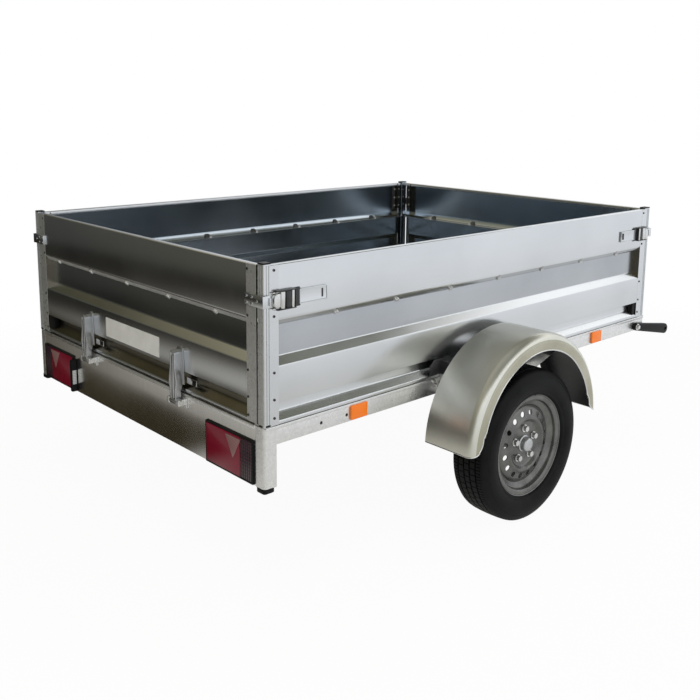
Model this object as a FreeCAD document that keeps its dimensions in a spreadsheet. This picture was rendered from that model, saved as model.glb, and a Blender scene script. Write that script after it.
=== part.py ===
import FreeCAD, Part
import math
import os
import Sketcher
from FreeCAD import Placement, Rotation, Vector

# A box utility trailer with a galvanised body, extension boards, a drop tailgate,
# one torsion axle, a drawbar in a V with a ball coupling, and a jockey wheel that holds its nose.
# X runs forward, Y to the left and Z up. The origin lies on the ground, under the middle of the whole.

doc = FreeCAD.newDocument("UtilityTrailer")
sheet = doc.addObject("Spreadsheet::Sheet", "Sizes")

sizes = {
    # the load bed: the ground to the top of its chassis, and its plan
    "floorHeight": 523.5,
    "bedLength": 2125,
    "bedWidth": 1505,
    "wallHeight": 481,
    "axleFromTail": 1003,
    # pressed walls, from the chassis upwards
    "sheetGauge": 2,
    "reliefDepth": 25,
    "toeHeight": 11,
    "toeSlopeTop": 33,
    "stepHeight": 67,
    "bulgeTop": 178,
    "bulgeSlopeTop": 203,
    "jointHeight": 300,
    "boardSlopeTop": 320,
    "jointFlange": 20,
    "footFlange": 18,
    "rimFold": 22,
    "rimDrop": 15,
    "wallGap": 1,
    # corner posts
    "postSide": 30,
    "postFrontLength": 40,
    "postRound": 5,
    "postProud": 3,
    "capHeight": 4,
    # chassis
    "beamHeight": 60,
    "beamFlange": 40,
    "beamGauge": 3,
    "floorGauge": 3,
    "crossWidth": 60,
    "crossHeight": 40,
    "crossGauge": 2.5,
    "crossRearShare": 0.22,
    "crossMiddleShare": 0.5,
    "crossFrontShare": 0.78,
    "beamHoleRadius": 5.5,
    "beamHoleFirst": 220,
    "beamHoleSpacing": 106,
    "beamHoleDrop": 35,
    # rear skirt, lamps and legs
    "skirtDepth": 191,
    "skirtGauge": 2.5,
    "skirtFold": 25,
    "legWidth": 42,
    "legDepth": 40,
    "legGauge": 3,
    "footHeight": 14,
    "lampInset": 48,
    "lampWidth": 248,
    "lampHeight": 138,
    "lampTop": 50,
    "lampProud": 9,
    "lampSeat": 45,
    "lampGap": 0.5,
    "licenceWidth": 18,
    "licenceHeight": 126,
    "licenceDepth": 22,
    "reflectorLength": 70,
    "reflectorHeight": 46,
    "reflectorDepth": 7,
    "reflectorRearDistance": 340,
    "reflectorFrontDistance": 417,
    "reflectorDrop": 8,
    # tailgate and its hinges
    "gateGap": 5,
    "hingeFromMiddle": 307,
    "hingePinRadius": 6,
    "hingePinDrop": 26,
    "hingePinBehind": 20,
    "hingeWidth": 46,
    "hingeTop": 145,
    "hingeGauge": 4,
    "hingeEyeWall": 5,
    "hingeBaseWidth": 70,
    "pinClearance": 0.3,
    # toggle latches and their keepers
    "latchHeight": 377,
    "latchLength": 200,
    "latchStart": 36,
    "latchBodyLength": 74,
    "latchWidth": 58,
    "latchDepth": 17,
    "leverDepth": 7,
    "keeperHeight": 36,
    "keeperGauge": 2.5,
    "keeperReach": 52,
    "keeperWrap": 20,
    # axle
    "axleTube": 60,
    "axlePlate": 8,
    "axlePlateLength": 130,
    "axleOverhang": 32.5,
    "axleAhead": 80,
    "armWidth": 34,
    "armEye": 36,
    "stubRadius": 16,
    "hubGap": 6,
    "hubRadius": 36,
    "hubFlangeRadius": 72,
    "hubFlange": 10,
    "capRadius": 26,
    "capLength": 30,
    # wheels
    "wheelOffset": 157.5,
    "tyreRadius": 273.5,
    "tyreWidth": 155,
    "treadWidth": 116,
    "shoulderRadius": 262,
    "shoulderWidth": 138,
    "tyreBulgeRadius": 224,
    "tyreBeadWidth": 112,
    "rimWidth": 125,
    "rimFlangeRadius": 182.5,
    "rimSeatRadius": 165,
    "rimWellRadius": 142,
    "rimWellWidth": 84,
    "rimGauge": 3.5,
    "beadClearance": 0.3,
    "discOffset": 30,
    "discRingRadius": 126,
    "discBeadRadius": 88,
    "hubBoreRadius": 29,
    "ventCount": 16,
    "ventRadius": 8,
    "ventInset": 11,
    "boltCircle": 112,
    "boltCount": 5,
    "boltHoleRadius": 6.5,
    # mudguards
    "guardRadius": 363,
    "guardCentreHeight": 44,
    "guardInner": 50,
    "guardOuter": 255,
    "guardFlange": 57,
    "guardTrim": 14,
    "guardRound": 34,
    "guardGauge": 2.5,
    "bracketGauge": 6,
    "bracketOffset": 240,
    "bracketReach": 90,
    "bracketDepth": 30,
    "seatGap": 0.3,
    # drawbar and coupling
    "couplingReach": 1025,
    "drawbarHeight": 60,
    "drawbarWidth": 40,
    "drawbarGauge": 3,
    "drawbarAxleGap": 177,
    "drawbarRearInset": 92.5,
    "drawbarFrontOffset": 46,
    "noseLength": 210,
    "noseLap": 62.5,
    "nosePlate": 6,
    "couplingLength": 250,
    "couplingWidth": 62,
    "ballRadius": 25,
    "ballClearance": 0.3,
    "socketWall": 7,
    "socketDepth": 20,
    "handleLength": 150,
    "handleThickness": 10,
    # jockey wheel
    "jockeyFromNose": 400,
    "jockeyRadius": 24,
    "jockeyGauge": 3,
    "jockeySlack": 0.5,
    "sleeveLength": 340,
    "sleeveBelow": 10,
    "sleeveStandoff": 12,
    "legTravel": 175,
    "jockeyWheelRadius": 100,
    "jockeyWheelWidth": 60,
    "jockeyTrail": 38,
    "forkGauge": 5,
    "forkGap": 6,
    "forkPinRadius": 6,
    "crankRadius": 110,
    "crankRod": 6,
    "crankRise": 40,
    "crankGripLength": 70,
    # corner lever at the front
    "leverLength": 255,
    "leverHeight": 46,
    "leverRootHeight": 34,
    "leverThickness": 20,
    "leverHoleRadius": 8,
    "leverFallAngle": 11,
    "leverSetback": 75,
    "leverDrop": 38,
    "overrun": 10,
}

for row, (name, value) in enumerate(sizes.items(), start=1):
    sheet.set("A%d" % row, name)
    sheet.set("B%d" % row, str(value))
    sheet.setAlias("B%d" % row, name)
doc.recompute()


class Size:
    # A number together with the formula by which the document works it out.
    def __init__(self, value, text):
        self.value = float(value)
        self.text = text

    def __add__(self, other):
        return Size(self.value + valueOf(other), "(%s + %s)" % (self.text, textOf(other)))

    def __radd__(self, other):
        return Size(valueOf(other) + self.value, "(%s + %s)" % (textOf(other), self.text))

    def __sub__(self, other):
        return Size(self.value - valueOf(other), "(%s - %s)" % (self.text, textOf(other)))

    def __rsub__(self, other):
        return Size(valueOf(other) - self.value, "(%s - %s)" % (textOf(other), self.text))

    def __mul__(self, other):
        return Size(self.value * valueOf(other), "(%s * %s)" % (self.text, textOf(other)))

    def __rmul__(self, other):
        return Size(valueOf(other) * self.value, "(%s * %s)" % (textOf(other), self.text))

    def __truediv__(self, other):
        return Size(self.value / valueOf(other), "(%s / %s)" % (self.text, textOf(other)))

    def __neg__(self):
        return Size(-self.value, "(0 - %s)" % self.text)


def valueOf(item):
    return item.value if isinstance(item, Size) else float(item)


def textOf(item):
    return item.text if isinstance(item, Size) else "%.12g" % item


def size(name):
    return Size(sizes[name], "Sizes." + name)


def spanOf(first, second):
    value = math.hypot(valueOf(first), valueOf(second))
    return Size(value, "sqrt(%s ^ 2 + %s ^ 2)" % (textOf(first), textOf(second)))


def legOf(slope, run):
    # The upright side of a right-angled triangle, from its long side and its base.
    value = math.sqrt(valueOf(slope) ** 2 - valueOf(run) ** 2)
    return Size(value, "sqrt(%s ^ 2 - %s ^ 2)" % (textOf(slope), textOf(run)))


def angleOf(rise, run):
    value = math.degrees(math.atan2(valueOf(rise), valueOf(run)))
    return Size(value, "atan2(%s; %s)" % (textOf(rise), textOf(run)))


def cosine(angle):
    return Size(math.cos(math.radians(valueOf(angle))), "cos(%s)" % textOf(angle))


def sine(angle):
    return Size(math.sin(math.radians(valueOf(angle))), "sin(%s)" % textOf(angle))


def bind(item, path, formula):
    item.setExpression(path, textOf(formula))


def place(item, across=0, along=0, up=0, axis=None, angle=0):
    turn = Rotation(axis, valueOf(angle)) if axis else Rotation()
    item.Placement = Placement(Vector(valueOf(across), valueOf(along), valueOf(up)), turn)
    bind(item, "Placement.Base.x", across)
    bind(item, "Placement.Base.y", along)
    bind(item, "Placement.Base.z", up)
    if isinstance(angle, Size):
        bind(item, "Placement.Rotation.Angle", angle)
    return item


nodes = []


def keep(item, label):
    item.Label = label
    nodes.append(item)
    return item


def box(name, low, high):
    # A block between two corners, each given as three formulas.
    item = doc.addObject("Part::Box", name)
    for path, first, last in zip(("Length", "Width", "Height"), low, high):
        bind(item, path, last - first)
    return place(item, *low)


def rod(name, centre, direction, radius, length):
    # A round bar that starts at a centre and runs along a direction.
    item = doc.addObject("Part::Cylinder", name)
    bind(item, "Radius", radius)
    bind(item, "Height", length)
    turn = Rotation(Vector(0, 0, 1), direction)
    place(item, *centre)
    item.Placement = Placement(item.Placement.Base, turn)
    return item


def cut(name, base, tools):
    if len(tools) > 1:
        joined = doc.addObject("Part::MultiFuse", name + "Tools")
        joined.Shapes = tools
    else:
        joined = tools[0]
    item = doc.addObject("Part::Cut", name)
    item.Base = base
    item.Tool = joined
    return item


def fuse(name, parts):
    item = doc.addObject("Part::MultiFuse", name)
    item.Shapes = parts
    item.Refine = True
    return item


def group(name, parts):
    item = doc.addObject("Part::Compound", name)
    item.Links = parts
    return item


def newBody(name):
    return doc.addObject("PartDesign::Body", name)


def newSketch(body, name, role):
    sketch = body.newObject("Sketcher::SketchObject", name)
    plane = [item for item in body.Origin.OriginFeatures if item.Role == role][0]
    sketch.AttachmentSupport = [(plane, "")]
    sketch.MapMode = "FlatFace"
    return sketch


def pinPoint(sketch, edge, end, point):
    # Ties one end of a line or arc to the sketch's origin by two formulas.
    for kind, formula in (("DistanceX", point[0]), ("DistanceY", point[1])):
        if valueOf(formula) == 0 and not isinstance(formula, Size):
            other = -2 if kind == "DistanceX" else -1
            sketch.addConstraint(Sketcher.Constraint("PointOnObject", edge, end, other))
            continue
        rule = sketch.addConstraint(Sketcher.Constraint(kind, -1, 1, edge, end, valueOf(formula)))
        sketch.setExpression("Constraints[%d]" % rule, textOf(formula))


def arcThrough(start, end, radius):
    # The arc of a radius between two points; a positive radius bulges to the right of the way.
    run = end - start
    half = run.Length / 2
    reach = math.sqrt(max(radius * radius - half * half, 0.0))
    side = Vector(-run.y, run.x, 0).normalize()
    sign = 1 if radius > 0 else -1
    centre = start + run * 0.5 + side * (sign * reach)
    middle = centre - side * (sign * abs(radius))
    return Part.Arc(start, middle, end)


def outline(sketch, points):
    # A closed loop. Each point is (x, y), or (x, y, radius) where an arc leads on to the next one.
    first = sketch.GeometryCount
    spots = [Vector(valueOf(point[0]), valueOf(point[1]), 0) for point in points]
    for index, point in enumerate(points):
        start = spots[index]
        end = spots[(index + 1) % len(points)]
        if len(point) == 3:
            sketch.addGeometry(arcThrough(start, end, valueOf(point[2])), False)
        else:
            sketch.addGeometry(Part.LineSegment(start, end), False)
    ends = []
    for index, point in enumerate(points):
        edge = first + index
        counterclockwise = len(point) == 2 or valueOf(point[2]) > 0
        ends.append((edge, 1, 2) if counterclockwise else (edge, 2, 1))
    for index, point in enumerate(points):
        edge, head, tail = ends[index]
        following, nextHead, nextTail = ends[(index + 1) % len(points)]
        sketch.addConstraint(Sketcher.Constraint("Coincident", edge, tail, following, nextHead))
        pinPoint(sketch, edge, head, point)
        if len(point) == 3:
            rule = sketch.addConstraint(Sketcher.Constraint("Radius", edge, abs(valueOf(point[2]))))
            positive = point[2] if valueOf(point[2]) > 0 else -point[2]
            sketch.setExpression("Constraints[%d]" % rule, textOf(positive))


def circle(sketch, centre, radius):
    spot = Vector(valueOf(centre[0]), valueOf(centre[1]), 0)
    edge = sketch.addGeometry(Part.Circle(spot, Vector(0, 0, 1), valueOf(radius)), False)
    pinPoint(sketch, edge, 3, centre)
    rule = sketch.addConstraint(Sketcher.Constraint("Radius", edge, valueOf(radius)))
    sketch.setExpression("Constraints[%d]" % rule, textOf(radius))


def pad(body, name, sketch, length, middle=False):
    feature = body.newObject("PartDesign::Pad", name)
    feature.Profile = sketch
    bind(feature, "Length", length)
    feature.Midplane = middle
    return feature


def revolve(body, name, sketch, axis="H_Axis"):
    feature = body.newObject("PartDesign::Revolution", name)
    feature.Profile = sketch
    feature.ReferenceAxis = (sketch, [axis])
    feature.Angle = 360
    return feature


def pocket(body, name, sketch):
    feature = body.newObject("PartDesign::Pocket", name)
    feature.Profile = sketch
    feature.Type = "ThroughAll"
    feature.Midplane = True
    return feature


def profileAlongX(name, points, start, length):
    # A section drawn across the trailer, in Y and Z, run along X.
    body = newBody(name)
    sketch = newSketch(body, name + "Section", "YZ_Plane")
    outline(sketch, points)
    pad(body, name + "Run", sketch, length)
    return place(body, start, 0, 0)


def profileAlongY(name, points, middle, length):
    # A section drawn in X and Z, run along Y to both sides of a middle plane.
    body = newBody(name)
    sketch = newSketch(body, name + "Section", "XZ_Plane")
    outline(sketch, points)
    pad(body, name + "Run", sketch, length, True)
    return place(body, 0, middle, 0)


def roundedPlan(points):
    # The eight points of an upright rectangle with rounded corners.
    left, low, right, high, radius = points
    return [(left + radius, low), (right - radius, low, radius), (right, low + radius),
            (right, high - radius, radius), (right - radius, high), (left + radius, high, radius),
            (left, high - radius), (left, low + radius, radius)]


# places along the trailer, from the middle of its whole length
strapReach = size("hingePinBehind") + size("hingePinRadius") + size("hingeEyeWall") + size("pinClearance")
tailX = (strapReach - size("bedLength") - size("couplingReach")) / 2
frontX = tailX + size("bedLength")
axleX = tailX + size("axleFromTail")
sideY = size("bedWidth") / 2
floorZ = size("floorHeight")
topZ = floorZ + size("wallHeight")
wheelZ = size("tyreRadius")
gauge = size("sheetGauge")
sides = (("right", -1), ("left", 1))
ends = (("rear", tailX, 1), ("front", frontX, -1))


def wallSection(face, inward, base):
    # The pressed lower wall. face is its outer plane and inward the sign of the way in.
    deep = size("reliefDepth")
    heights = [size(name) for name in ("toeHeight", "toeSlopeTop", "stepHeight", "bulgeTop", "bulgeSlopeTop")]
    toe, toeTop, step, bulge, bulgeTop = [base + item for item in heights]
    joint = floorZ + size("jointHeight")
    flange = deep + size("jointFlange")
    points = [(0, base), (0, toe), (deep, toeTop), (deep, step), (0, step), (0, bulge),
              (deep, bulgeTop), (deep, joint), (flange, joint), (flange, joint - gauge),
              (deep + gauge, joint - gauge), (deep + gauge, bulgeTop), (gauge, bulge),
              (gauge, step + gauge), (deep + gauge, step + gauge), (deep + gauge, toeTop), (gauge, toe),
              (gauge, base + gauge), (size("footFlange"), base + gauge), (size("footFlange"), base)]
    return [(face + inward * inset, height) for inset, height in points]


def boardSection(face, inward):
    # The extension board that stands on the lower wall.
    deep = size("reliefDepth")
    flange = deep + size("jointFlange")
    joint = floorZ + size("jointHeight")
    slope = floorZ + size("boardSlopeTop")
    fold = size("rimFold")
    points = [(flange, joint), (deep, joint), (0, slope), (0, topZ), (fold, topZ),
              (fold, topZ - size("rimDrop")), (fold - gauge, topZ - size("rimDrop")),
              (fold - gauge, topZ - gauge), (gauge, topZ - gauge), (gauge, slope),
              (deep + gauge, joint + gauge), (flange, joint + gauge)]
    return [(face + inward * inset, height) for inset, height in points]


def buildWalls():
    postSide = size("postSide")
    gap = size("wallGap")
    flange = size("reliefDepth") + size("jointFlange")
    start = tailX + flange + size("gateGap")
    stop = frontX - flange - gap
    joint = floorZ + size("jointHeight")
    for label, side in sides:
        face = side * sideY
        near, far = sorted((face, face - side * gauge), key=valueOf)
        for kind, low, high in (("lower", floorZ, joint), ("upper", joint, topZ)):
            name = "side%s%s" % (kind, label)
            if kind == "lower":
                section = wallSection(face, -side, floorZ)
            else:
                section = boardSection(face, -side)
            sheetBody = profileAlongX(name, section, start, stop - start)
            rear = box(name + "RearStrip", (tailX + postSide + gap, near, low), (start + gauge, far, high))
            front = box(name + "FrontStrip", (stop - gauge, near, low),
                        (frontX - size("postFrontLength") - gap, far, high))
            keep(fuse(name + "Wall", [sheetBody, rear, front]), "side_%s_%s" % (kind, label))
    frontRun = size("bedWidth") - 2 * (postSide + gap)
    keep(profileAlongY("frontLower", wallSection(frontX, -1, floorZ), 0, frontRun), "front_lower")
    keep(profileAlongY("frontUpper", boardSection(frontX, -1), 0, frontRun), "front_upper")
    gateRun = size("bedWidth") - 2 * (postSide + size("gateGap"))
    gateBase = floorZ + size("gateGap")
    keep(profileAlongY("gateLower", wallSection(tailX, 1, gateBase), 0, gateRun), "tailgate_lower")
    keep(profileAlongY("gateUpper", boardSection(tailX, 1), 0, gateRun), "tailgate_upper")


def buildPosts():
    # Square tubes at the four corners, each with a cap.
    side = size("postSide")
    wall = gauge
    caps = []
    for end, faceX, inX in ends:
        for label, hand in sides:
            name = "post" + end + label
            body = newBody(name)
            sketch = newSketch(body, name + "Section", "XY_Plane")
            long = side if inX > 0 else size("postFrontLength")
            lowX = faceX if inX > 0 else faceX - long
            if hand > 0:
                lowY = sideY - side
            else:
                lowY = -sideY
            outline(sketch, roundedPlan((lowX, lowY, lowX + long, lowY + side, size("postRound"))))
            inner = size("postRound") - wall
            outline(sketch, roundedPlan((lowX + wall, lowY + wall, lowX + long - wall,
                                         lowY + side - wall, inner)))
            height = size("wallHeight") + size("postProud")
            pad(body, name + "Run", sketch, height)
            keep(place(body, 0, 0, floorZ), "post_%s_%s" % (end, label))
            capBase = topZ + size("postProud")
            caps.append(box("cap" + end + label, (lowX + wall, lowY + wall, capBase),
                            (lowX + long - wall, lowY + side - wall, capBase + size("capHeight"))))
    keep(group("postCaps", caps), "post_caps")


def channelSection(face, inward, top, height, flange, wall):
    # A folded channel, open inwards.
    low = top - height
    points = [(0, top), (flange, top), (flange, top - wall), (wall, top - wall), (wall, low + wall),
              (flange, low + wall), (flange, low), (0, low)]
    return [(face + inward * inset, level) for inset, level in points]


def buildChassis():
    wall = size("beamGauge")
    flange = size("beamFlange")
    height = size("beamHeight")
    beamStart = tailX + size("legDepth")
    for label, side in sides:
        section = channelSection(side * sideY, -side, floorZ - size("floorGauge"), height - size("floorGauge"),
                                 flange, wall)
        beam = profileAlongX("beam" + label, section, beamStart, frontX - beamStart)
        holes = []
        for number in range(2):
            middle = tailX + size("beamHoleFirst") + number * size("beamHoleSpacing")
            deep = wall + 2 * size("overrun")
            start = side * (sideY + size("overrun"))
            holes.append(rod("beamHole%s%d" % (label, number),
                             (middle, start, floorZ - size("beamHoleDrop")), Vector(0, -side, 0),
                             size("beamHoleRadius"), deep))
        keep(cut("beamDrilled" + label, beam, holes), "chassis_beam_" + label)
    section = channelSection(frontX, -1, floorZ - size("floorGauge"), height - size("floorGauge"),
                             flange, wall)
    keep(profileAlongY("frontBeam", section, 0, size("bedWidth") - 2 * flange - gauge), "chassis_front_beam")
    keep(box("floorSheet", (tailX + size("skirtGauge"), -sideY, floorZ - size("floorGauge")),
             (frontX, sideY, floorZ)), "floor")
    bars = []
    half = size("crossWidth") / 2
    top = floorZ - size("floorGauge")
    thick = size("crossGauge")
    low = top - size("crossHeight")
    for number, share in enumerate(("crossRearShare", "crossMiddleShare", "crossFrontShare")):
        middle = tailX + size(share) * size("bedLength")
        hat = [(middle - half, top), (middle - half, top - thick), (middle - half / 2 - thick, top - thick),
               (middle - half / 2 - thick, low), (middle + half / 2 + thick, low),
               (middle + half / 2 + thick, top - thick), (middle + half, top - thick), (middle + half, top),
               (middle + half / 2, top), (middle + half / 2, low + thick), (middle - half / 2, low + thick),
               (middle - half / 2, top)]
        bars.append(profileAlongY("crossBar%d" % number, hat, 0, size("bedWidth") - 2 * flange - gauge))
    keep(group("crossBars", bars), "cross_members")


def buildSkirt():
    # The deep rear panel with its two lamp windows, the legs beside it, their feet, and the lamps.
    thick = size("skirtGauge")
    legWidth = size("legWidth")
    top = floorZ
    low = floorZ - size("skirtDepth")
    fold = size("skirtFold")
    points = [(tailX, top), (tailX + thick, top), (tailX + thick, low + thick), (tailX + fold, low + thick),
              (tailX + fold, low), (tailX, low)]
    width = size("bedWidth") - 2 * (legWidth + gauge / 2)
    panel = profileAlongY("skirtPanel", points, 0, width)
    windows = []
    lampLow = floorZ - size("lampTop") - size("lampHeight")
    lampHigh = floorZ - size("lampTop")
    for label, side in sides:
        outer = sideY - size("lampInset")
        inner = outer - size("lampWidth")
        if side > 0:
            first, last = inner, outer
        else:
            first, last = -outer, -inner
        windows.append(box("lampWindow" + label, (tailX - size("overrun"), first, lampLow),
                           (tailX + thick + size("overrun"), last, lampHigh)))
        gap = size("lampGap")
        front = box("lampFront" + label, (tailX - size("lampProud"), first + gap, lampLow + gap),
                    (tailX + size("lampSeat"), last - gap, lampHigh - gap))
        keep(front, "tail_lamp_" + label)
    keep(cut("skirtCut", panel, windows), "rear_skirt")
    licenceX = tailX - size("licenceDepth")
    licenceY = sideY - size("lampInset") - size("lampWidth") - size("licenceWidth") - gauge
    keep(box("licenceLamp", (licenceX, licenceY, lampLow), (tailX, licenceY + size("licenceWidth"),
                                                            lampLow + size("licenceHeight"))), "licence_lamp")
    feet = []
    for label, side in sides:
        wall = size("legGauge")
        outerY = side * sideY
        section = [(0, 0), (size("legDepth"), 0), (size("legDepth"), wall), (wall, wall), (wall, legWidth),
                   (0, legWidth)]
        body = newBody("leg" + label)
        sketch = newSketch(body, "leg%sSection" % label, "XY_Plane")
        outline(sketch, [(tailX + along, outerY - side * across) for along, across in section])
        pad(body, "leg%sRun" % label, sketch, size("skirtDepth") - size("floorGauge"))
        keep(place(body, 0, 0, low), "rear_leg_" + label)
        if side > 0:
            first, last = sideY - legWidth, sideY
        else:
            first, last = -sideY, legWidth - sideY
        feet.append(box("foot" + label, (tailX, first, low - size("footHeight")),
                        (tailX + size("legDepth"), last, low)))
    keep(group("rearFeet", feet), "rear_feet")
    lights = []
    for label, side in sides:
        starts = (tailX + size("reflectorRearDistance"), frontX - size("reflectorFrontDistance"))
        for number, start in enumerate(starts):
            if side > 0:
                first, last = sideY, sideY + size("reflectorDepth")
            else:
                first, last = -sideY - size("reflectorDepth"), -sideY
            high = floorZ - size("reflectorDrop")
            lights.append(box("reflector%s%d" % (label, number), (start, first, high - size("reflectorHeight")),
                              (start + size("reflectorLength"), last, high)))
    keep(group("sideReflectors", lights), "side_reflectors")


def buildHinges():
    # Two drop hinges: a base with a pin on the chassis, and a channel strap on the tailgate.
    pinX = tailX - size("hingePinBehind")
    pinZ = floorZ - size("hingePinDrop")
    eye = size("hingePinRadius") + size("hingeEyeWall") + size("pinClearance")
    half = size("hingeWidth") / 2
    outer = size("hingeBaseWidth") / 2
    lug = size("hingeBaseWidth") / 2 - half - size("pinClearance")
    straps = []
    bases = []
    for label, side in sides:
        middle = side * size("hingeFromMiddle")
        name = "hinge" + label
        pin = rod(name + "Pin", (pinX, middle - outer, pinZ), Vector(0, 1, 0), size("hingePinRadius"), 2 * outer)
        cheeks = []
        for number, hand in enumerate((-1, 1)):
            edge = middle + hand * outer
            if hand > 0:
                first, last = edge - lug, edge
            else:
                first, last = edge, edge + lug
            cheeks.append(box("%sCheek%d" % (name, number), (pinX - eye, first, pinZ - eye),
                              (tailX, last, pinZ + eye)))
        bases.append(fuse(name + "Base", [pin] + cheeks))
        tube = rod(name + "Eye", (pinX, middle - half, pinZ), Vector(0, 1, 0), eye, 2 * half)
        plate = box(name + "Plate", (pinX - eye, middle - half, pinZ),
                    (pinX - eye + size("hingeGauge"), middle + half, floorZ + size("hingeTop")))
        webs = []
        for number, hand in enumerate((-1, 1)):
            edge = middle + hand * half
            if hand > 0:
                first, last = edge - size("hingeGauge"), edge
            else:
                first, last = edge, edge + size("hingeGauge")
            webs.append(box("%sWeb%d" % (name, number), (pinX - eye, first, floorZ + size("stepHeight")),
                            (tailX, last, floorZ + size("hingeTop"))))
        solid = fuse(name + "Solid", [tube, plate] + webs)
        bore = rod(name + "Bore", (pinX, middle - outer, pinZ), Vector(0, 1, 0),
                   size("hingePinRadius") + size("pinClearance"), 2 * outer)
        straps.append(cut(name + "Strap", solid, [bore]))
    keep(group("hingeStraps", straps), "tailgate_hinge_straps")
    keep(group("hingeBases", bases), "hinge_bases")


def buildLatches():
    # Toggle latches on the side boards, with the keepers that they pull on.
    middle = floorZ + size("latchHeight")
    half = size("latchWidth") / 2
    keepers = {"rear": [], "front": []}
    for label, side in sides:
        pair = []
        for end, faceX, inX in ends:
            name = "latch" + end + label
            reach = []
            for first, last, deep, tall in (
                    (size("latchStart"), size("latchStart") + size("latchBodyLength"), size("latchDepth"), half),
                    (size("latchStart") + size("latchBodyLength"), size("latchLength") + size("latchStart"),
                     size("leverDepth"), half)):
                ahead = sorted((faceX + inX * first, faceX + inX * last), key=valueOf)
                out = sorted((side * sideY, side * (sideY + deep)), key=valueOf)
                reach.append(box("%sPart%d" % (name, len(reach)), (ahead[0], out[0], middle - tall),
                                 (ahead[1], out[1], middle + tall)))
            pair.append(fuse(name, reach))
            gap = size("gateGap") if end == "rear" else size("pinClearance")
            thick = size("keeperGauge")
            tall = size("keeperHeight") / 2
            outX = sorted((faceX - inX * gap, faceX - inX * (gap + thick)), key=valueOf)
            acrossY = sorted((side * (sideY + gap + thick), side * (sideY - size("keeperReach"))), key=valueOf)
            back = box("%sBack" % name, (outX[0], acrossY[0], middle - tall), (outX[1], acrossY[1], middle + tall))
            wrapX = sorted((faceX - inX * (gap + thick), faceX + inX * size("keeperWrap")), key=valueOf)
            wrapY = sorted((side * (sideY + gap), side * (sideY + gap + thick)), key=valueOf)
            wrap = box("%sWrap" % name, (wrapX[0], wrapY[0], middle - tall), (wrapX[1], wrapY[1], middle + tall))
            footX = sorted((faceX, faceX - inX * (gap + thick)), key=valueOf)
            footY = sorted((side * (sideY - size("keeperReach")),
                            side * (sideY - size("postSide") - size("gateGap"))), key=valueOf)
            foot = box("%sFoot" % name, (footX[0], footY[0], middle - tall), (footX[1], footY[1], middle + tall))
            keepers[end].append(fuse("%sKeeper" % name, [back, wrap, foot]))
        keep(group("latches" + label, pair), "side_latches_" + label)
    keep(group("keepersRear", keepers["rear"]), "tailgate_keepers")
    keep(group("keepersFront", keepers["front"]), "front_keepers")


def wheelAxis(side):
    return side * (sideY + size("wheelOffset"))


def buildAxle():
    tube = size("axleTube")
    tubeX = axleX + size("axleAhead")
    tubeTop = floorZ - size("beamHeight") - size("axlePlate")
    tubeZ = tubeTop - tube / 2
    end = axleEnd
    bar = box("axleBar", (tubeX - tube / 2, -end, tubeZ - tube / 2), (tubeX + tube / 2, end, tubeZ + tube / 2))
    plates = []
    for label, side in sides:
        inner, outer = sorted((side * (sideY - size("beamFlange")), side * sideY), key=valueOf)
        plates.append(box("axlePlate" + label, (tubeX - size("axlePlateLength") / 2, inner, tubeTop),
                          (tubeX + size("axlePlateLength") / 2, outer, tubeTop + size("axlePlate"))))
    keep(fuse("axleBeam", [bar] + plates), "axle_beam")
    for label, side in sides:
        body = newBody("arm" + label)
        sketch = newSketch(body, "arm%sSection" % label, "XZ_Plane")
        eye = size("armEye")
        top = tubeZ + tube / 2
        ahead = tubeX + tube / 2
        outline(sketch, [(axleX - eye, wheelZ), (axleX + eye, wheelZ), (ahead, tubeZ), (ahead, top),
                         (tubeX - tube / 2, top), (axleX - eye, wheelZ + eye)])
        pad(body, "arm%sRun" % label, sketch, size("armWidth"), True)
        place(body, 0, side * (end + size("armWidth") / 2), 0)
        knuckle = rod("knuckle" + label, (axleX, side * end, wheelZ), Vector(0, side, 0), eye, size("armWidth"))
        stubStart = end + size("armWidth")
        stub = rod("stub" + label, (axleX, side * end, wheelZ), Vector(0, side, 0), size("stubRadius"),
                   size("armWidth") + size("hubGap") + hubLength - size("hubFlange"))
        keep(fuse("armSolid" + label, [body, knuckle, stub]), "axle_arm_" + label)


axleEnd = sideY + size("axleOverhang")
hubStart = axleEnd + size("armWidth") + size("hubGap")
hubLength = sideY + size("wheelOffset") + size("discOffset") - hubStart


def buildHub(label, side):
    # The hub turns with the wheel: barrel, bolting flange and grease cap, bored for the stub.
    body = newBody("hub" + label)
    sketch = newSketch(body, "hub%sSection" % label, "YZ_Plane")
    start = hubStart
    face = start + hubLength
    bore = size("stubRadius") + size("pinClearance")
    cap = size("capRadius")
    bottom = face - size("hubFlange") + size("pinClearance")
    points = [(start, bore), (start, size("hubRadius")), (face - size("hubFlange"), size("hubRadius")),
              (face - size("hubFlange"), size("hubFlangeRadius")), (face, size("hubFlangeRadius")),
              (face, cap), (face + size("capLength"), cap), (face + size("capLength"), 0),
              (bottom, 0), (bottom, bore)]
    outline(sketch, [(side * across, radius) for across, radius in points])
    revolve(body, "hub%sTurned" % label, sketch)
    keep(place(body, axleX, 0, wheelZ), "hub_" + label)


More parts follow.
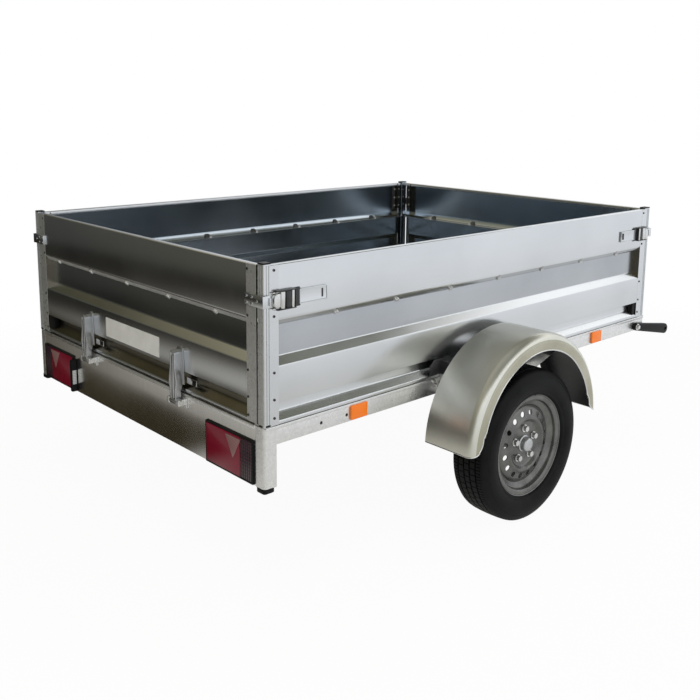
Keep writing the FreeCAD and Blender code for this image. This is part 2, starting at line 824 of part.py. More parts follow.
def buildRim(label, side):
    body = newBody("rim" + label)
    half = size("rimWidth") / 2
    thick = size("rimGauge")
    lip = size("rimFlangeRadius")
    seat = size("rimSeatRadius")
    well = size("rimWellRadius")
    sketch = newSketch(body, "rim%sBarrel" % label, "YZ_Plane")
    slope = half - (lip - seat) / 2
    wellHalf = size("rimWellWidth") / 2
    points = [(-half, lip), (-half, seat - thick), (-slope, seat - thick), (-wellHalf - thick, well - thick),
              (wellHalf + thick, well - thick), (slope, seat - thick), (half, seat - thick), (half, lip),
              (half - thick, lip), (half - thick, seat), (slope, seat), (wellHalf, well), (-wellHalf, well),
              (-slope, seat), (thick - half, seat), (thick - half, lip)]
    outline(sketch, [(side * across, radius) for across, radius in points])
    revolve(body, "rim%sBarrelTurned" % label, sketch)
    disc = newSketch(body, "rim%sDisc" % label, "YZ_Plane")
    face = size("discOffset")
    ring = size("discRingRadius")
    bead = size("discBeadRadius")
    bore = size("hubBoreRadius")
    crest = face + (well - ring)
    points = [(face, bore), (face + thick, bore), (face + thick, bead - thick), (crest + thick, bead + thick),
              (crest + thick, ring), (face + thick, well - thick / 2), (face, well - thick / 2),
              (crest, ring - thick), (crest, bead + 2 * thick), (face, bead)]
    outline(disc, [(side * across, radius) for across, radius in points])
    revolve(body, "rim%sDiscTurned" % label, disc)
    for kind, count, radius, circleRadius in (
            ("Bolt", size("boltCount"), size("boltHoleRadius"), size("boltCircle") / 2),
            ("Vent", size("ventCount"), size("ventRadius"), ring - size("ventInset"))):
        hole = newSketch(body, "rim%s%sHole" % (label, kind), "XZ_Plane")
        circle(hole, (0, circleRadius), radius)
        cutter = pocket(body, "rim%s%sCut" % (label, kind), hole)
        pattern = body.newObject("PartDesign::PolarPattern", "rim%s%sRing" % (label, kind))
        pattern.Originals = [cutter]
        axis = [item for item in body.Origin.OriginFeatures if item.Role == "Y_Axis"][0]
        pattern.Axis = (axis, [""])
        pattern.Angle = 360
        bind(pattern, "Occurrences", count)
        body.Tip = pattern
    keep(place(body, axleX, wheelAxis(side), wheelZ), "rim_" + label)


def buildTyre(label, side):
    body = newBody("tyre" + label)
    sketch = newSketch(body, "tyre%sSection" % label, "YZ_Plane")
    seat = size("rimSeatRadius") + size("beadClearance")
    bead = size("tyreBeadWidth") / 2
    bulge = size("tyreWidth") / 2
    shoulder = size("shoulderWidth") / 2
    tread = size("treadWidth") / 2
    outer = size("tyreRadius")
    low = size("rimFlangeRadius") + size("beadClearance")
    side1 = size("tyreBulgeRadius")
    high = size("shoulderRadius")
    lowArc = size("tyreWidth") / 2
    points = [(-bead, seat), (bead, seat), (bead, low), (bead + size("rimGauge"), low + size("rimGauge"), lowArc),
              (bulge, side1, lowArc), (shoulder, high, lowArc / 2), (tread, outer), (-tread, outer, lowArc / 2),
              (-shoulder, high, lowArc), (-bulge, side1, lowArc), (-bead - size("rimGauge"), low + size("rimGauge")),
              (-bead, low)]
    outline(sketch, points)
    revolve(body, "tyre%sTurned" % label, sketch)
    keep(place(body, axleX, wheelAxis(side), wheelZ), "tyre_" + label)


def buildGuard(label, side):
    # A pressed mudguard: a rounded crown with a deep outer flange, turned about a centre above the axle.
    body = newBody("guard" + label)
    sketch = newSketch(body, "guard%sSection" % label, "YZ_Plane")
    inner = sideY + size("guardInner")
    outer = sideY + size("guardOuter")
    radius = size("guardRadius")
    thick = size("guardGauge")
    low = radius - size("guardFlange")
    turn = size("guardRound")
    points = [(side * inner, radius - thick), (side * inner, radius), (side * (outer - turn), radius, -side * turn),
              (side * outer, radius - turn), (side * outer, low), (side * (outer - thick), low),
              (side * (outer - thick), radius - turn, side * (turn - thick)), (side * (outer - turn), radius - thick)]
    outline(sketch, points)
    feature = body.newObject("PartDesign::Revolution", "guard%sTurned" % label)
    feature.Profile = sketch
    feature.ReferenceAxis = (sketch, ["H_Axis"])
    feature.Midplane = True
    feature.Angle = 180
    centre = wheelZ + size("guardCentreHeight")
    place(body, axleX, 0, centre)
    over = size("overrun")
    corner = size("guardFlange") + over
    end = centre + size("guardTrim")
    edges = sorted((side * (outer + over), side * (outer - turn), side * (inner - over)), key=valueOf)
    outside, inside = sorted((side * (outer + over), side * (outer - turn)), key=valueOf)
    tools = [box("guardEnds" + label, (axleX - radius - over, edges[0], centre - over),
                 (axleX + radius + over, edges[2], end))]
    for number, hand in enumerate((-1, 1)):
        near, far = sorted((axleX + hand * (radius - corner), axleX + hand * (radius + over)), key=valueOf)
        block = box("guardBlock%s%d" % (label, number), (near, outside, end - over),
                    (far, inside, end + size("guardFlange")))
        disc = rod("guardDisc%s%d" % (label, number), (axleX + hand * radius, outside, end + size("guardFlange")),
                   Vector(0, 1, 0), size("guardFlange"), inside - outside)
        tools.append(cut("guardCorner%s%d" % (label, number), block, [disc]))
    keep(cut("guardTrimmed" + label, body, tools), "mudguard_" + label)
    plates = []
    spread = size("bracketOffset") + size("bracketGauge") / 2
    under = radius - thick - size("seatGap")
    crown = centre + legOf(under, spread)
    beamTop = floorZ - size("floorGauge")
    beamLow = floorZ - size("beamHeight")
    reach = inner + size("bracketReach")
    for number, hand in enumerate((-1, 1)):
        name = "guardPlate%s%d" % (label, number)
        plate = newBody(name)
        shape = newSketch(plate, name + "Outline", "YZ_Plane")
        points = [(sideY, beamLow), (sideY, beamTop), (inner, crown), (reach, crown),
                  (reach, crown - size("bracketDepth")), (inner, beamLow)]
        outline(shape, [(side * across, height) for across, height in points])
        pad(plate, name + "Pad", shape, size("bracketGauge"), True)
        plates.append(place(plate, axleX + hand * size("bracketOffset"), 0, 0))
    keep(group("guardPlates" + label, plates), "mudguard_brackets_" + label)


# the drawbar's arms run from under the side beams to the coupling's neck
armTop = floorZ - size("beamHeight")
armLow = armTop - size("drawbarHeight")
armRearX = axleX + size("axleAhead") + size("axleTube") / 2 + size("drawbarAxleGap")
rearSpread = sideY - size("drawbarRearInset")
apexX = frontX + size("couplingReach") - size("couplingLength")
armRise = rearSpread - size("drawbarFrontOffset")
armRun = apexX - armRearX
armLength = spanOf(armRise, armRun)
armSlant = angleOf(armRise, armRun)
noseTop = armTop + size("nosePlate")


def besideArm(side, along, out):
    # A place beside an arm: so far along it from its rear end, and so far out from its middle line.
    return (armRearX + along * cosine(armSlant) + out * sine(armSlant),
            side * (rearSpread - along * sine(armSlant) + out * cosine(armSlant)))


def barOnArm(name, side, along, out, up, length, width, height):
    # A bar laid parallel to an arm. Its corner is the rear end of its right-hand face.
    bar = doc.addObject("Part::Box", name)
    bind(bar, "Length", length)
    bind(bar, "Width", width)
    bind(bar, "Height", height)
    spot = besideArm(side, along, out if side > 0 else out + width)
    return place(bar, spot[0], spot[1], up, Vector(0, 0, 1), -side * armSlant)


def buildDrawbar():
    width = size("drawbarWidth")
    wall = size("drawbarGauge")
    over = size("overrun")
    for label, side in sides:
        name = "drawbar" + label
        solid = barOnArm(name + "Outer", side, 0, -width / 2, armLow, armLength, width, size("drawbarHeight"))
        hollow = barOnArm(name + "Inner", side, -over, wall - width / 2, armLow + wall, armLength + 2 * over,
                          width - 2 * wall, size("drawbarHeight") - 2 * wall)
        keep(cut(name + "Tube", solid, [hollow]), "drawbar_arm_" + label)
    half = size("drawbarFrontOffset") + width / 2
    start = apexX - size("noseLength")
    keep(box("nosePlateTop", (start, -half, armTop), (apexX + size("noseLap"), half, noseTop)),
         "drawbar_nose")


def buildCoupling():
    base = noseTop
    tip = frontX + size("couplingReach")
    ball = size("ballRadius") + size("ballClearance")
    cupRadius = ball + size("socketWall")
    cupX = tip - cupRadius
    half = size("couplingWidth") / 2
    height = size("socketDepth") + ball + size("socketWall")
    top = base + height
    throat = box("couplingThroat", (apexX - size("noseLength") / 2, -half, base), (cupX, half, top))
    cup = rod("couplingCup", (cupX, 0, base), Vector(0, 0, 1), cupRadius, height)
    solid = fuse("couplingSolid", [throat, cup])
    socket = rod("couplingSocket", (cupX, 0, base - size("overrun")), Vector(0, 0, 1), ball,
                 size("socketDepth") + size("overrun"))
    dome = doc.addObject("Part::Sphere", "couplingDome")
    bind(dome, "Radius", ball)
    place(dome, cupX, 0, base + size("socketDepth"))
    keep(cut("couplingHead", solid, [socket, dome]), "coupling_head")
    start = cupX - size("handleLength")
    keep(box("couplingHandle", (start, -half / 2, top), (cupX, half / 2, top + size("handleThickness"))),
         "coupling_handle")


def buildJockey():
    # The jockey wheel on the left arm: sleeve and clamp, sliding leg, castor fork, wheel and crank.
    up = Vector(0, 0, 1)
    outer = size("jockeyRadius")
    along = armLength - size("jockeyFromNose")
    face = size("drawbarWidth") / 2
    legX, legY = besideArm(1, along, face + size("sleeveStandoff") + outer)
    sleeveLow = armLow - size("sleeveBelow")
    sleeveTop = sleeveLow + size("sleeveLength")
    tube = rod("jockeyTube", (legX, legY, sleeveLow), up, outer, size("sleeveLength"))
    clamp = barOnArm("jockeyClamp", 1, along - outer, face, armLow, 2 * outer, size("sleeveStandoff") + outer,
                     size("drawbarHeight"))
    solid = fuse("jockeySolid", [tube, clamp])
    wall = size("jockeyGauge")
    bore = rod("jockeyBore", (legX, legY, sleeveLow - size("overrun")), up, outer - wall,
               size("sleeveLength") + size("overrun") - wall)
    keep(cut("jockeySleeve", solid, [bore]), "jockey_sleeve")
    wheelRadius = size("jockeyWheelRadius")
    gap = size("forkGap")
    thick = size("forkGauge")
    crown = 2 * wheelRadius + gap
    legLow = crown + thick + size("seatGap")
    legTop = sleeveTop - wall - size("legTravel") - gap
    keep(rod("jockeyLeg", (legX, legY, legLow), up, outer - wall - size("jockeySlack"), legTop - legLow),
         "jockey_leg")
    halfWidth = size("jockeyWheelWidth") / 2
    cheek = halfWidth + gap
    wheelX = legX - size("jockeyTrail")
    plate = box("forkCrown", (wheelX - outer, legY - cheek - thick, crown),
                (legX + outer, legY + cheek + thick, crown + thick))
    cheeks = []
    for number, hand in enumerate((-1, 1)):
        first, last = sorted((legY + hand * cheek, legY + hand * (cheek + thick)), key=valueOf)
        cheeks.append(box("forkCheek%d" % number, (wheelX - outer, first, wheelRadius - outer),
                          (wheelX + outer, last, crown)))
    pin = rod("forkPin", (wheelX, legY - cheek - thick, wheelRadius), Vector(0, 1, 0), size("forkPinRadius"),
              2 * (cheek + thick))
    keep(fuse("jockeyFork", [plate, pin] + cheeks), "jockey_fork")
    disc = rod("jockeyDisc", (wheelX, legY - halfWidth, wheelRadius), Vector(0, 1, 0), wheelRadius,
               2 * halfWidth)
    hole = rod("jockeyHole", (wheelX, legY - cheek, wheelRadius), Vector(0, 1, 0),
               size("forkPinRadius") + size("pinClearance"), 2 * cheek)
    keep(cut("jockeyWheel", disc, [hole]), "jockey_wheel")
    crankRod = size("crankRod")
    crankTop = sleeveTop + size("crankRise")
    stem = rod("crankStem", (legX, legY, sleeveTop), up, crankRod, size("crankRise"))
    arm = rod("crankArm", (legX + crankRod, legY, crankTop - crankRod), Vector(-1, 0, 0), crankRod,
              size("crankRadius") + crankRod)
    grip = rod("crankGrip", (legX - size("crankRadius"), legY, crankTop - 2 * crankRod), up, 2 * crankRod,
               size("crankGripLength"))
    keep(fuse("jockeyCrank", [stem, arm, grip]), "jockey_crank")


def buildCornerLever():
    # The black moulded lever that is bolted to the outside of the right beam's front end.
    thick = size("leverThickness")
    reach = size("leverLength")
    root = size("leverRootHeight") / 2
    end = size("leverHeight") / 2
    away = Vector(0, -1, 0)
    boss = rod("leverRoot", (0, 0, 0), away, root, thick)
    tip = rod("leverTip", (reach, 0, 0), away, end, thick)
    blade = newBody("leverBlade")
    sketch = newSketch(blade, "leverBladeOutline", "XZ_Plane")
    outline(sketch, [(0, -root), (reach, -end), (reach, end), (0, root)])
    pad(blade, "leverBladePad", sketch, thick)
    hole = rod("leverHole", (reach, size("overrun"), 0), away, size("leverHoleRadius"),
               thick + 2 * size("overrun"))
    lever = cut("cornerLever", fuse("leverSolid", [boss, tip, blade]), [hole])
    place(lever, frontX - size("leverSetback"), -sideY - size("seatGap"), floorZ - size("leverDrop"),
          Vector(0, 1, 0), size("leverFallAngle"))
    keep(lever, "front_corner_lever")


buildWalls()
buildPosts()
buildChassis()
buildSkirt()
buildHinges()
buildLatches()
buildAxle()
for handLabel, hand in sides:
    buildHub(handLabel, hand)
    buildRim(handLabel, hand)
    buildTyre(handLabel, hand)
    buildGuard(handLabel, hand)
buildDrawbar()
buildCoupling()
buildJockey()
buildCornerLever()

doc.recompute()

failed = [item.Label for item in doc.Objects if "Invalid" in item.State or "Error" in item.State]
if failed:
    raise RuntimeError("not built: " + ", ".join(failed))
for item in nodes:
    if item.Shape.isNull() or not item.Shape.isValid():
        raise RuntimeError("bad shape: " + item.Label)

os.makedirs("parts", exist_ok=True)
for item in nodes:
    item.Shape.exportStep(os.path.join("parts", item.Label + ".step"))
print("wrote %d nodes" % len(nodes))
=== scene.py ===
import math
import bpy
from mathutils import Matrix, Vector


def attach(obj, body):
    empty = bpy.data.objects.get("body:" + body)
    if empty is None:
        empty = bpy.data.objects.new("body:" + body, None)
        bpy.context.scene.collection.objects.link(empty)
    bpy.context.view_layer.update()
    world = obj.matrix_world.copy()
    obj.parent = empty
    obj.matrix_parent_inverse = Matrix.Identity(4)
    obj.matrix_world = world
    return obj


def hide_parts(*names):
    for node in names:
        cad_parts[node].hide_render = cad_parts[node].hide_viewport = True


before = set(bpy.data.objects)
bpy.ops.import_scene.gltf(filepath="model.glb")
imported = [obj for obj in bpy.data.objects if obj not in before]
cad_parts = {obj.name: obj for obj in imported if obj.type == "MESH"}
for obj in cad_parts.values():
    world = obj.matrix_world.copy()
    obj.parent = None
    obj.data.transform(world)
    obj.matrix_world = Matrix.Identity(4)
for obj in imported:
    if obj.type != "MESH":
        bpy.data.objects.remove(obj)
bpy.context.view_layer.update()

# main places of the trailer, in metres: x forward, y to the left, z up
bed = {"tailX": -1.55935, "frontX": 0.56565, "sideY": 0.7525, "floorZ": 0.5235, "topZ": 1.0045,
       "beamLow": 0.4635, "length": 2.125}
wheel = {"x": -0.55635, "y": 0.910, "z": 0.2735}
tailX, frontX, sideY, floorZ = (bed[key] for key in ("tailX", "frontX", "sideY", "floorZ"))
sides = (("right", -1), ("left", 1))
axisX, axisY, axisZ = (1, 0, 0), (0, 1, 0), (0, 0, 1)


# small tools
def clearSelection():
    if bpy.context.object and bpy.context.object.mode != "OBJECT":
        leave()
    bpy.ops.object.select_all(action="DESELECT")


def activate(obj):
    clearSelection()
    obj.select_set(True)
    bpy.context.view_layer.objects.active = obj
    return obj


def settle(obj):
    # puts an object's place, turn and size into its mesh
    activate(obj)
    bpy.ops.object.transform_apply(location=True, rotation=True, scale=True)
    return obj


def named(name):
    obj = bpy.context.object
    obj.name = obj.data.name = name
    return settle(obj)


def block(name, xs, ys, zs):
    # a box between two places on each axis, given in any order
    clearSelection()
    low, high = (Vector([limit(pair) for pair in (xs, ys, zs)]) for limit in (min, max))
    bpy.ops.mesh.primitive_cube_add(size=1, location=(low + high) / 2)
    bpy.context.object.scale = high - low
    return named(name)


def facing(axis):
    return Vector(axis).to_track_quat("Z", "Y")


def rod(name, centre, axis, radius, length, sides=24):
    clearSelection()
    bpy.ops.mesh.primitive_cylinder_add(vertices=sides, radius=radius, depth=length, location=centre,
                                        rotation=facing(axis).to_euler())
    return named(name)


def edit(obj, mode="FACE"):
    activate(obj)
    bpy.ops.object.mode_set(mode="EDIT")
    bpy.ops.mesh.select_mode(type=mode)
    bpy.ops.mesh.select_all(action="DESELECT")


def leave():
    bpy.ops.object.mode_set(mode="OBJECT")


def pick(obj, test, kind="faces"):
    # selects what a test accepts, from edit mode
    leave()
    mesh = obj.data
    for group in (mesh.vertices, mesh.edges, mesh.polygons):
        for item in group:
            item.select = False
    if kind == "faces":
        for face in mesh.polygons:
            face.select = test(face.center, face.normal)
    elif kind == "edges":
        for edge in mesh.edges:
            first, last = (mesh.vertices[index].co for index in edge.vertices)
            edge.select = test((first + last) / 2, last - first)
    else:
        for vertex in mesh.vertices:
            vertex.select = test(vertex.co)
    bpy.context.tool_settings.mesh_select_mode = (kind == "vertices", kind == "edges", kind == "faces")
    bpy.ops.object.mode_set(mode="EDIT")


def push(step):
    bpy.ops.mesh.extrude_region_move(TRANSFORM_OT_translate={"value": step})


def insetFaces(obj, test, *steps):
    # works on the faces that a test accepts: an inset by (thickness, depth), or a push along a vector
    edit(obj)
    pick(obj, test)
    for step in steps:
        if len(step) == 2:
            bpy.ops.mesh.inset(thickness=step[0], depth=step[1])
        else:
            push(step)
    leave()
    return obj


def roundEdges(obj, test, offset, segments):
    edit(obj, "EDGE")
    pick(obj, test, "edges")
    bpy.ops.mesh.bevel(offset=offset, segments=segments)
    leave()
    return obj


def onAll(obj, operator, mode="FACE", **settings):
    # runs a mesh operator on the whole of a mesh
    edit(obj, mode)
    bpy.ops.mesh.select_all(action="SELECT")
    operator(**settings)
    leave()
    return obj


def useModifier(obj, kind, **settings):
    activate(obj)
    modifier = obj.modifiers.new(kind.title(), kind)
    for key, value in settings.items():
        setattr(modifier, key, value)
    bpy.ops.object.modifier_apply(modifier=modifier.name)
    return obj


def bevel(obj, width, segments=2, angle=35):
    return useModifier(obj, "BEVEL", width=width, segments=segments, limit_method="ANGLE",
                       angle_limit=math.radians(angle), use_clamp_overlap=True)


def smooth(obj, angle=32):
    activate(obj)
    bpy.ops.object.shade_smooth_by_angle(angle=math.radians(angle))
    return obj


def drop(*objects):
    for obj in objects:
        bpy.data.objects.remove(obj, do_unlink=True)


def cutOut(obj, cutter):
    useModifier(obj, "BOOLEAN", operation="DIFFERENCE", solver="EXACT", object=cutter)
    drop(cutter)
    return obj


def twinOf(obj, matrix):
    # a copy with its own mesh
    twin = obj.copy()
    twin.data = obj.data.copy()
    bpy.context.scene.collection.objects.link(twin)
    twin.matrix_world = matrix
    return twin


def copyTo(obj, places, axis=axisZ):
    # copies a mesh built along +Z from the origin to places, turned to an axis
    turn = facing(axis).to_matrix().to_4x4()
    return [twinOf(obj, Matrix.Translation(place) @ turn) for place in places]


def joinAll(name, parts):
    clearSelection()
    for part in parts:
        part.select_set(True)
    bpy.context.view_layer.objects.active = parts[0]
    if len(parts) > 1:
        bpy.ops.object.join()
    return named(name)


def flip(obj, name, axis=1):
    # a mirrored copy across the trailer's middle, with its faces turned out again
    scale = Vector((1, 1, 1, 1))
    scale[axis] = -1
    twin = twinOf(obj, Matrix.Diagonal(scale) @ obj.matrix_world)
    twin.name = twin.data.name = name
    return onAll(settle(twin), bpy.ops.mesh.flip_normals)


def chain(name, places):
    # a row of edges drawn on from one point to the next
    clearSelection()
    bpy.ops.mesh.primitive_plane_add(size=0.01, location=places[0])
    obj = named(name)
    edit(obj, "VERT")
    bpy.ops.mesh.select_all(action="SELECT")
    bpy.ops.mesh.merge(type="CENTER")
    for here, there in zip(places, places[1:]):
        push(there - here)
    leave()
    return obj


def slab(name, axis, level, rows, thick):
    # a flat plate across axis 0, 1 or 2: an outline at a level, filled and pushed out to its thickness
    places = [Vector((*row[:axis], level, *row[axis:])) for row in rows]
    step = Vector()
    step[axis] = thick
    obj = chain(name, places)
    edit(obj, "VERT")
    bpy.ops.mesh.select_all(action="SELECT")
    bpy.ops.mesh.edge_face_add()
    push(step)
    bpy.ops.mesh.select_all(action="SELECT")
    bpy.ops.mesh.normals_make_consistent(inside=False)
    leave()
    return obj


def radial(rows, centre):
    # places beside a cross axis, from rows of distance along it and radius
    return [Vector((centre[0] + radius, centre[1] + across, centre[2])) for across, radius in rows]


def turnAbout(obj, centre, angle, steps):
    # turns a row of edges into a skin about a line that runs across the trailer
    return onAll(obj, bpy.ops.mesh.spin, "EDGE", steps=steps, angle=math.radians(angle), center=centre, axis=axisY)


def weld(obj):
    # doubled corners merged, faces turned out
    onAll(obj, bpy.ops.mesh.remove_doubles, threshold=0.00002)
    return onAll(obj, bpy.ops.mesh.normals_make_consistent, inside=False)


def faceOut(obj, rank, direction):
    # turns an open skin over when the face that ranks highest looks away from a direction
    if max(obj.data.polygons, key=rank).normal.dot(Vector(direction)) < 0:
        onAll(obj, bpy.ops.mesh.flip_normals)
    return obj


def roundBar(obj, radius, rounds):
    # a row of edges made into a closed round bar
    activate(obj)
    bpy.ops.object.convert(target="CURVE")
    obj.data.bevel_depth = radius
    obj.data.bevel_resolution = rounds
    obj.data.use_fill_caps = True
    bpy.ops.object.convert(target="MESH")
    return weld(bpy.context.object)


def paintAs(obj, materials, index):
    # one finish of several on all its faces, ready to be joined with pieces of the others
    obj.data.materials.clear()
    for material in materials:
        obj.data.materials.append(material)
    for face in obj.data.polygons:
        face.material_index = index
    return obj


def finishPiece(obj, body, slot, materials, *nodes):
    # gives a piece its finishes, its body, and the nodes that it stands in for
    if not isinstance(materials, (list, tuple)):
        materials = [materials]
    while len(obj.data.materials) < len(materials):
        obj.data.materials.append(None)
    for index, material in enumerate(materials):
        obj.data.materials[index] = material
    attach(obj, body)
    if nodes:
        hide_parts(*nodes)


def finishPair(obj, body, slot, materials, node=""):
    # a piece on one side and its mirrored twin on the other; a name that ends in _ takes the side's
    here, there = ("left", "right") if obj.name.endswith("Left") else ("right", "left")
    twin = flip(obj, obj.name.removesuffix(here.title()) + there.title())
    for item, label in ((obj, here), (twin, there)):
        nodes = [node + label] if node else []
        finishPiece(item, body + label if body.endswith("_") else body, slot, materials, *nodes)


# materials
def addNode(tree, kind, inputs=None, **settings):
    node = tree.nodes.new(kind)
    for key, value in settings.items():
        setattr(node, key, value)
    for key, value in (inputs or {}).items():
        if isinstance(value, bpy.types.NodeSocket):
            tree.links.new(value, node.inputs[key])
        else:
            node.inputs[key].default_value = value
    return node


def colour(value):
    if isinstance(value, (int, float)):
        value = (value, value, value)
    return (*value, 1.0)


def stops(tree, source, rows):
    # maps a value onto a row of colours or grey levels, each with its place
    node = addNode(tree, "ShaderNodeValToRGB", {"Fac": source})
    marks = node.color_ramp.elements
    while len(marks) < len(rows):
        marks.new(0.5)
    for mark, (place, tone) in zip(marks, rows):
        mark.position = place
        mark.color = colour(tone)
    return node.outputs["Color"]


def feed(tree, shader, key, source, first, last):
    # sets a shader's value from a source between two stops
    tree.links.new(stops(tree, source, (first, last)), shader.inputs[key])


def startMaterial(name, sockets):
    material = bpy.data.materials.new(name)
    material.use_nodes = True
    tree = material.node_tree
    shader = tree.nodes["Principled BSDF"]
    for key, value in sockets.items():
        shader.inputs[key].default_value = value
    return material, tree, shader


def objectPlace(tree, scale=(1, 1, 1)):
    source = addNode(tree, "ShaderNodeTexCoord")
    return addNode(tree, "ShaderNodeMapping", {"Vector": source.outputs["Object"], "Scale": scale}).outputs["Vector"]


def noise(tree, place, scale, detail, rough=0.5):
    return addNode(tree, "ShaderNodeTexNoise", {"Vector": place, "Scale": scale, "Detail": detail,
                                                "Roughness": rough}).outputs


def mixed(tree, share, first, last):
    return addNode(tree, "ShaderNodeMix", {"Factor": share, "A": first, "B": last},
                   data_type="FLOAT").outputs["Result"]


def bump(tree, shader, height, strength, distance):
    node = addNode(tree, "ShaderNodeBump", {"Height": height, "Strength": strength, "Distance": distance})
    tree.links.new(node.outputs["Normal"], shader.inputs["Normal"])


def rolledZinc(name, low, high, rough, stretch, wave=0.22, streak=0.12):
    # smooth zinc-coated sheet: cloudy tone, faint rolling streaks and soft waves that bend reflections
    material, tree, shader = startMaterial(name, {"Metallic": 1.0})
    clouds = noise(tree, objectPlace(tree), 2.4, 5.0, 0.55)["Fac"]
    streaks = noise(tree, objectPlace(tree, stretch), 9.0, 4.0, 0.6)["Fac"]
    feed(tree, shader, "Base Color", mixed(tree, streak, clouds, streaks), (0.36, low), (0.64, high))
    feed(tree, shader, "Roughness", clouds, (0.3, rough - 0.03), (0.7, rough + 0.04))
    waves = noise(tree, objectPlace(tree, (1.0, 1.0, 2.2)), 3.5, 1.0, 0.3)["Fac"]
    bump(tree, shader, waves, wave, 0.004)
    return material


def spangledZinc(name, low, high, size, rough, metallic=0.88):
    # hot-dip galvanised steel: interlocking crystals of slightly different tone and gloss
    material, tree, shader = startMaterial(name, {"Metallic": metallic})
    place = objectPlace(tree)
    bent = addNode(tree, "ShaderNodeMix", {"Factor": 0.012, "A": place, "B": noise(tree, place, 40.0, 2.0)["Color"]},
                   data_type="VECTOR")
    crystals = addNode(tree, "ShaderNodeTexVoronoi", {"Vector": bent.outputs["Result"], "Scale": size})
    grey = addNode(tree, "ShaderNodeSeparateColor", {"Color": crystals.outputs["Color"]})
    dirt = noise(tree, place, 7.0, 8.0, 0.7)["Fac"]
    feed(tree, shader, "Base Color", mixed(tree, 0.6, grey.outputs["Red"], dirt), (0.2, low), (0.8, high))
    feed(tree, shader, "Roughness", grey.outputs["Green"], (0.0, rough - 0.07), (1.0, rough + 0.08))
    bump(tree, shader, dirt, 0.06, 0.0015)
    return material


def moulded(name, low, high, rough, grain, metallic=0.0, strength=0.1, gloss=0.5):
    # paint, plastic or rubber with a fine grain and cloudy wear
    material, tree, shader = startMaterial(name, {"Metallic": metallic, "Specular IOR Level": gloss})
    place = objectPlace(tree)
    clouds = noise(tree, place, 14.0, 5.0, 0.6)["Fac"]
    feed(tree, shader, "Base Color", clouds, (0.35, low), (0.68, high))
    feed(tree, shader, "Roughness", clouds, (0.3, rough - 0.06), (0.7, rough + 0.08))
    bump(tree, shader, noise(tree, place, grain, 3.0)["Fac"], strength, 0.0006)
    return material


def ribbedLens(name, low, high, ribs, rough):
    # moulded lens with fine optic ribs behind a gloss face
    material, tree, shader = startMaterial(name, {"IOR": 1.49, "Coat Weight": 0.2, "Coat Roughness": 0.05,
                                                  "Specular IOR Level": 0.35})
    place = objectPlace(tree)
    stripes, rows = (addNode(tree, "ShaderNodeTexWave", {"Vector": place, "Scale": ribs, "Distortion": 0.2},
                             bands_direction=way).outputs["Fac"] for way in "YZ")
    grid = addNode(tree, "ShaderNodeMath", {0: stripes, 1: rows}, operation="MULTIPLY").outputs["Value"]
    feed(tree, shader, "Base Color", grid, (0.0, low), (0.9, high))
    feed(tree, shader, "Roughness", stripes, (0.0, rough), (1.0, rough + 0.1))
    bump(tree, shader, grid, 0.25, 0.0008)
    return material


# each finish: its darkest and lightest tone, its roughness, then the stretch, size or grain of its pattern
rolling, bending = (0.4, 0.4, 9.0), (1.0, 4.0, 1.0)
wallZinc = rolledZinc("wallZinc", (0.65, 0.665, 0.68), (0.71, 0.725, 0.74), 0.21, rolling, 0.14)
# a darker copy of the wall zinc: painted shade in the upper recess and on the sides' down-facing board slope
recessZinc = rolledZinc("recessZinc", (0.41, 0.425, 0.44), (0.48, 0.495, 0.51), 0.22, rolling, 0.14)
# a darker, bluer copy of the wall zinc for faces that look into the bed: painted shade and painted reflection
innerZinc = rolledZinc("innerZinc", (0.43, 0.485, 0.54), (0.53, 0.585, 0.64), 0.20, rolling, 0.14)
# a dark brown copy of the zinc: painted shade in the tail's lower recess, on the strip returns, the gate's edge and the
# tail sill
shadeZinc = rolledZinc("shadeZinc", (0.13, 0.12, 0.09), (0.22, 0.20, 0.155), 0.26, rolling, 0.14)
skirtZinc = rolledZinc("skirtZinc", (0.80, 0.795, 0.775), (0.92, 0.915, 0.895), 0.20, (1.0, 9.0, 0.6), 0.12, 0.35)
# the guard's olive tint is a painted reflection of the olive ground
guardZinc = rolledZinc("guardZinc", (0.66, 0.65, 0.56), (0.80, 0.80, 0.75), 0.34, bending, 0.09)
# a darker olive copy of the guard zinc for the outer flange: painted shade and painted reflection
flangeZinc = rolledZinc("flangeZinc", (0.38, 0.365, 0.27), (0.55, 0.535, 0.44), 0.25, bending, 0.20, 0.3)
floorZinc = rolledZinc("floorZinc", (0.33, 0.342, 0.355), (0.43, 0.442, 0.455), 0.26, (9.0, 0.4, 0.4))
frameZinc = spangledZinc("frameZinc", (0.72, 0.72, 0.715), (0.86, 0.86, 0.855), 150.0, 0.34)
# a darker copy of the spangled zinc: painted shade on the posts' end faces and on the tail strips
postZinc = spangledZinc("postZinc", (0.42, 0.42, 0.405), (0.54, 0.54, 0.52), 150.0, 0.34, 0.60)
brightZinc = moulded("brightZinc", (0.62, 0.62, 0.61), (0.80, 0.80, 0.79), 0.20, 300.0, 1.0, 0.03)
# a less metallic copy of the bright zinc, so the lamps light the board bolts' heads white: painted glints
boltZinc = moulded("boltZinc", (0.62, 0.62, 0.61), (0.80, 0.80, 0.79), 0.22, 300.0, 0.75, 0.03)
# a less metallic copy of the zinc that the lamps light: a painted light band on the tail board's down-facing slope
foldZinc = moulded("foldZinc", (0.34, 0.335, 0.325), (0.44, 0.435, 0.425), 0.38, 220.0, 0.2, 0.05)
